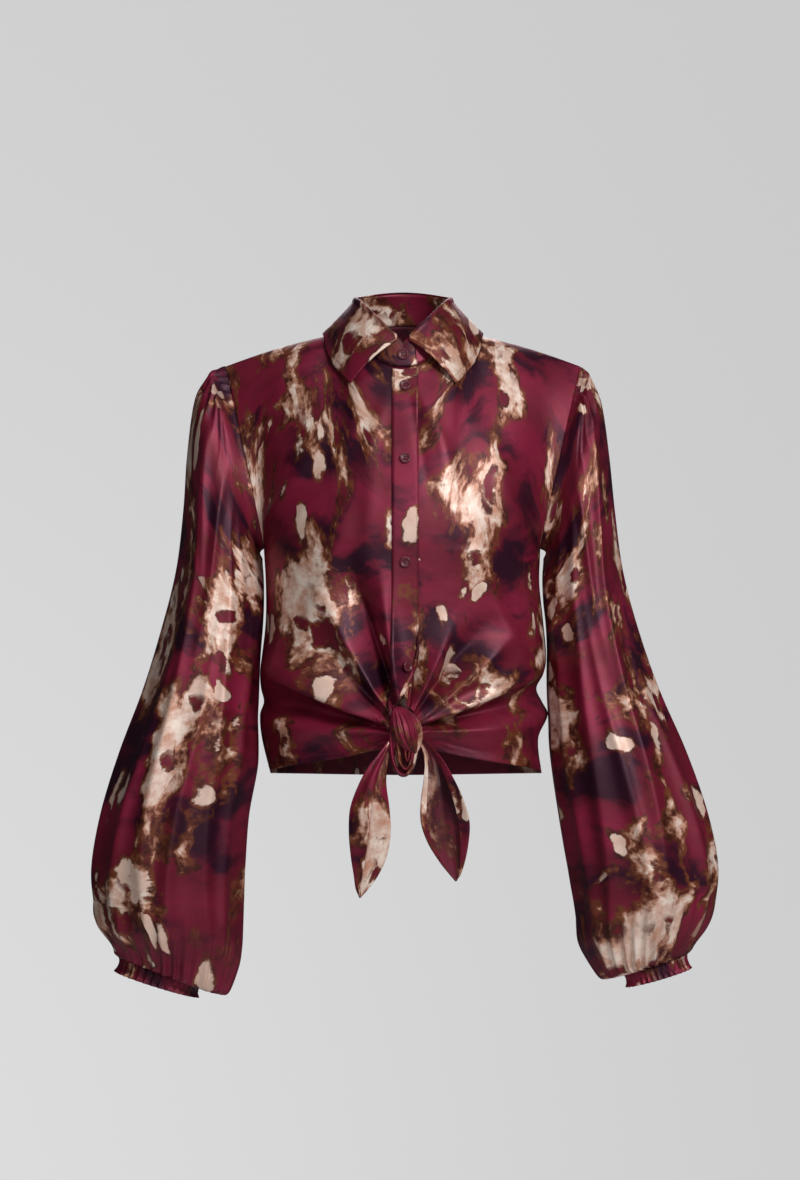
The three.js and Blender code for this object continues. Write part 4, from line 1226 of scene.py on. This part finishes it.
def stitched(name, lines):
    """Rows of stitches: each line is its points and the outward normals there, in millimetres."""
    bm = bmesh.new()
    for points, normals in lines:
        steps = np.linalg.norm(np.diff(points, axis=0), axis=1)
        reach = np.concatenate([[0], np.cumsum(steps)])
        spots = np.arange(STITCH.length, reach[-1] - STITCH.length, STITCH.length + STITCH.gap)
        place = xyz(*(np.interp(spots, reach, column) for column in points.T))
        ahead = xyz(*(np.interp(spots + 1, reach, column) for column in points.T))
        out = unit(xyz(*(np.interp(spots, reach, column) for column in normals.T)))
        for centre, onward, normal in zip(place, ahead, out):
            along = Vector(onward - centre).normalized()
            add_rod(bm, centre + normal * STITCH.proud, along, STITCH.radius, STITCH.length, 5, 0)
    return finish_piece(name, bm, [thread])


def fall_line(share):
    turns = np.linspace(FALL.start + 0.03, FULL_TURN - FALL.start - 0.03, 400)
    inset = share + 0 * turns
    points = fall_point(turns, inset)
    around = fall_point(turns + 0.01, inset) - fall_point(turns - 0.01, inset)
    downwards = fall_point(turns, inset + 0.02) - fall_point(turns, inset - 0.02)
    normals = unit(np.cross(around, downwards))
    facing = np.sign(np.sum(normals * away_from_neck(points), -1, keepdims=True))
    return points, normals * facing


def band_line(share, first, last):
    downs = np.linspace(first, last, 260)
    points = band_point(share + 0 * downs, downs)
    across = across_at(points[:, 0], downs)
    return points, body_normal(across, downs, FRONT)


def hem_line(face, side, inset):
    shares = np.linspace(0.4, 0.995, 200) if face == FRONT else np.linspace(-0.99, 0.99, 400)
    across = shares * side
    down = 2 - inset + 0 * across
    return body_point(across, down, face), body_normal(across, down, face)


def cuff_line(side, along):
    turns = np.linspace(0, FULL_TURN, 420)
    points = cuff_point(side, turns, along + 0 * turns)
    return points, unit(points - wrist_middle(side))


stitched("band_stitches", [band_line(share, 0.03, 1.86) for share in BAND_ROWS])
stitched("collar_stitches", [fall_line(COLLAR_ROW)])
stitched("hem_stitches", [hem_line(*edge, HEM_ROW) for edge in [(FRONT, 1), (FRONT, -1), (BACK, 1)]])
stitched("cuff_stitches", [cuff_line(side, along) for side in PHASES for along in CUFF_ROWS])

# Studio, light and camera
PIXEL = 1.05 * MM
PICTURE = Sizes(height=1180, middle_row=590, origin_row=335, origin_off_middle=3)
CAMERA_DISTANCE = 5.0
SENSOR = 36
FLOOR_Z = -1.36
FLOOR_RADIUS = 3.0
PAPER = srgb(214, 214, 214)
LIT_MIDDLE = Vector((0, 0, -0.3))
AMBIENT = (0.04, 0.04, 0.042, 1)


def make_camera():
    data = bpy.data.cameras.new("camera")
    data.sensor_width = SENSOR
    data.lens = SENSOR * CAMERA_DISTANCE / (PICTURE.height * PIXEL)
    data.clip_end = 60
    camera = add_object("camera", data)
    height = (PICTURE.origin_row - PICTURE.middle_row) * PIXEL
    camera.location = (-PICTURE.origin_off_middle * PIXEL, -CAMERA_DISTANCE, height)
    camera.rotation_euler = (QUARTER_TURN, 0, 0)
    bpy.context.scene.camera = camera


def make_floor():
    """A pale floor below the frame, which fades into the backdrop at its rim."""
    bm = bmesh.new()
    bmesh.ops.create_circle(bm, cap_ends=True, segments=96, radius=FLOOR_RADIUS)
    bmesh.ops.translate(bm, verts=bm.verts, vec=(0, 0, FLOOR_Z))
    mesh = bpy.data.meshes.new("floor")
    bm.to_mesh(mesh)
    bm.free()
    floor = add_object("floor", mesh)
    material, n, shader = new_material("floor_paper")
    flat = n.vector("MULTIPLY", n.add("ShaderNodeTexCoord").outputs["Object"], (1, 1, 0))
    distance = n.add("ShaderNodeVectorMath", {0: flat}, operation="LENGTH").outputs["Value"]
    seen = n.add("ShaderNodeLightPath").outputs["Is Camera Ray"]
    n.feed(shader["Emission Strength"], n.math("MULTIPLY", seen, 0.5))
    n.feed(shader["Alpha"], n.step(distance, 0.35 * FLOOR_RADIUS, 0.98 * FLOOR_RADIUS, 1.0, 0.0))
    shader["Emission Color"].default_value = PAPER
    shader["Base Color"].default_value = PAPER
    shader["Roughness"].default_value = 0.9
    mesh.materials.append(material)


def make_backdrop():
    """A light grey seen behind the blouse, lighter low and to the left as a painted falloff of light, and a
    dimmer grey that lights it.
    """
    world = bpy.data.worlds.new("backdrop")
    world.use_nodes = True
    n = Nodes(world.node_tree)
    plain = world.node_tree.nodes["Background"]
    plain.inputs["Color"].default_value = AMBIENT
    heading = n.add("ShaderNodeSeparateXYZ", {0: n.add("ShaderNodeTexCoord").outputs["Generated"]}).outputs
    # Painted falloff of light across the backdrop: lightest low on the left, darkest high on the right
    sideways = n.step(heading["X"], -0.12, 0.12)
    upwards = n.step(heading["Z"], -0.14, 0.16)
    grey = n.blend(sideways, n.blend(upwards, srgb(221, 221, 222), srgb(208, 208, 209)),
                   n.blend(upwards, srgb(206, 206, 207), srgb(202, 202, 203)))
    seen = n.add("ShaderNodeBackground", {"Color": grey}).outputs[0]
    choice = n.add("ShaderNodeMixShader").inputs
    n.feed(choice[0], n.add("ShaderNodeLightPath").outputs["Is Camera Ray"])
    n.feed(choice[1], plain.outputs[0])
    n.feed(choice[2], seen)
    n.feed(world.node_tree.nodes["World Output"].inputs["Surface"], choice[0].node.outputs[0])
    bpy.context.scene.world = world


def add_light(name, place, size, power):
    data = bpy.data.lights.new(name, "AREA")
    data.shape = "RECTANGLE"
    data.size, data.size_y = size
    data.energy = power
    lamp = add_object(name, data)
    lamp.location = place
    lamp.rotation_euler = (LIT_MIDDLE - Vector(place)).to_track_quat("-Z", "Y").to_euler()


make_camera()
make_floor()
make_backdrop()
add_light("key", (1.9, -3.2, 1.5), (0.8, 1.5), 106)
add_light("fill", (-0.5, -3.9, 0.5), (0.9, 1.6), 21)
add_light("top", (0.2, -0.8, 2.8), (1.2, 1.2), 16)
add_light("back", (0.1, 3.6, 1.5), (2.6, 2.0), 56)
bpy.context.scene.view_settings.view_transform = "Standard"
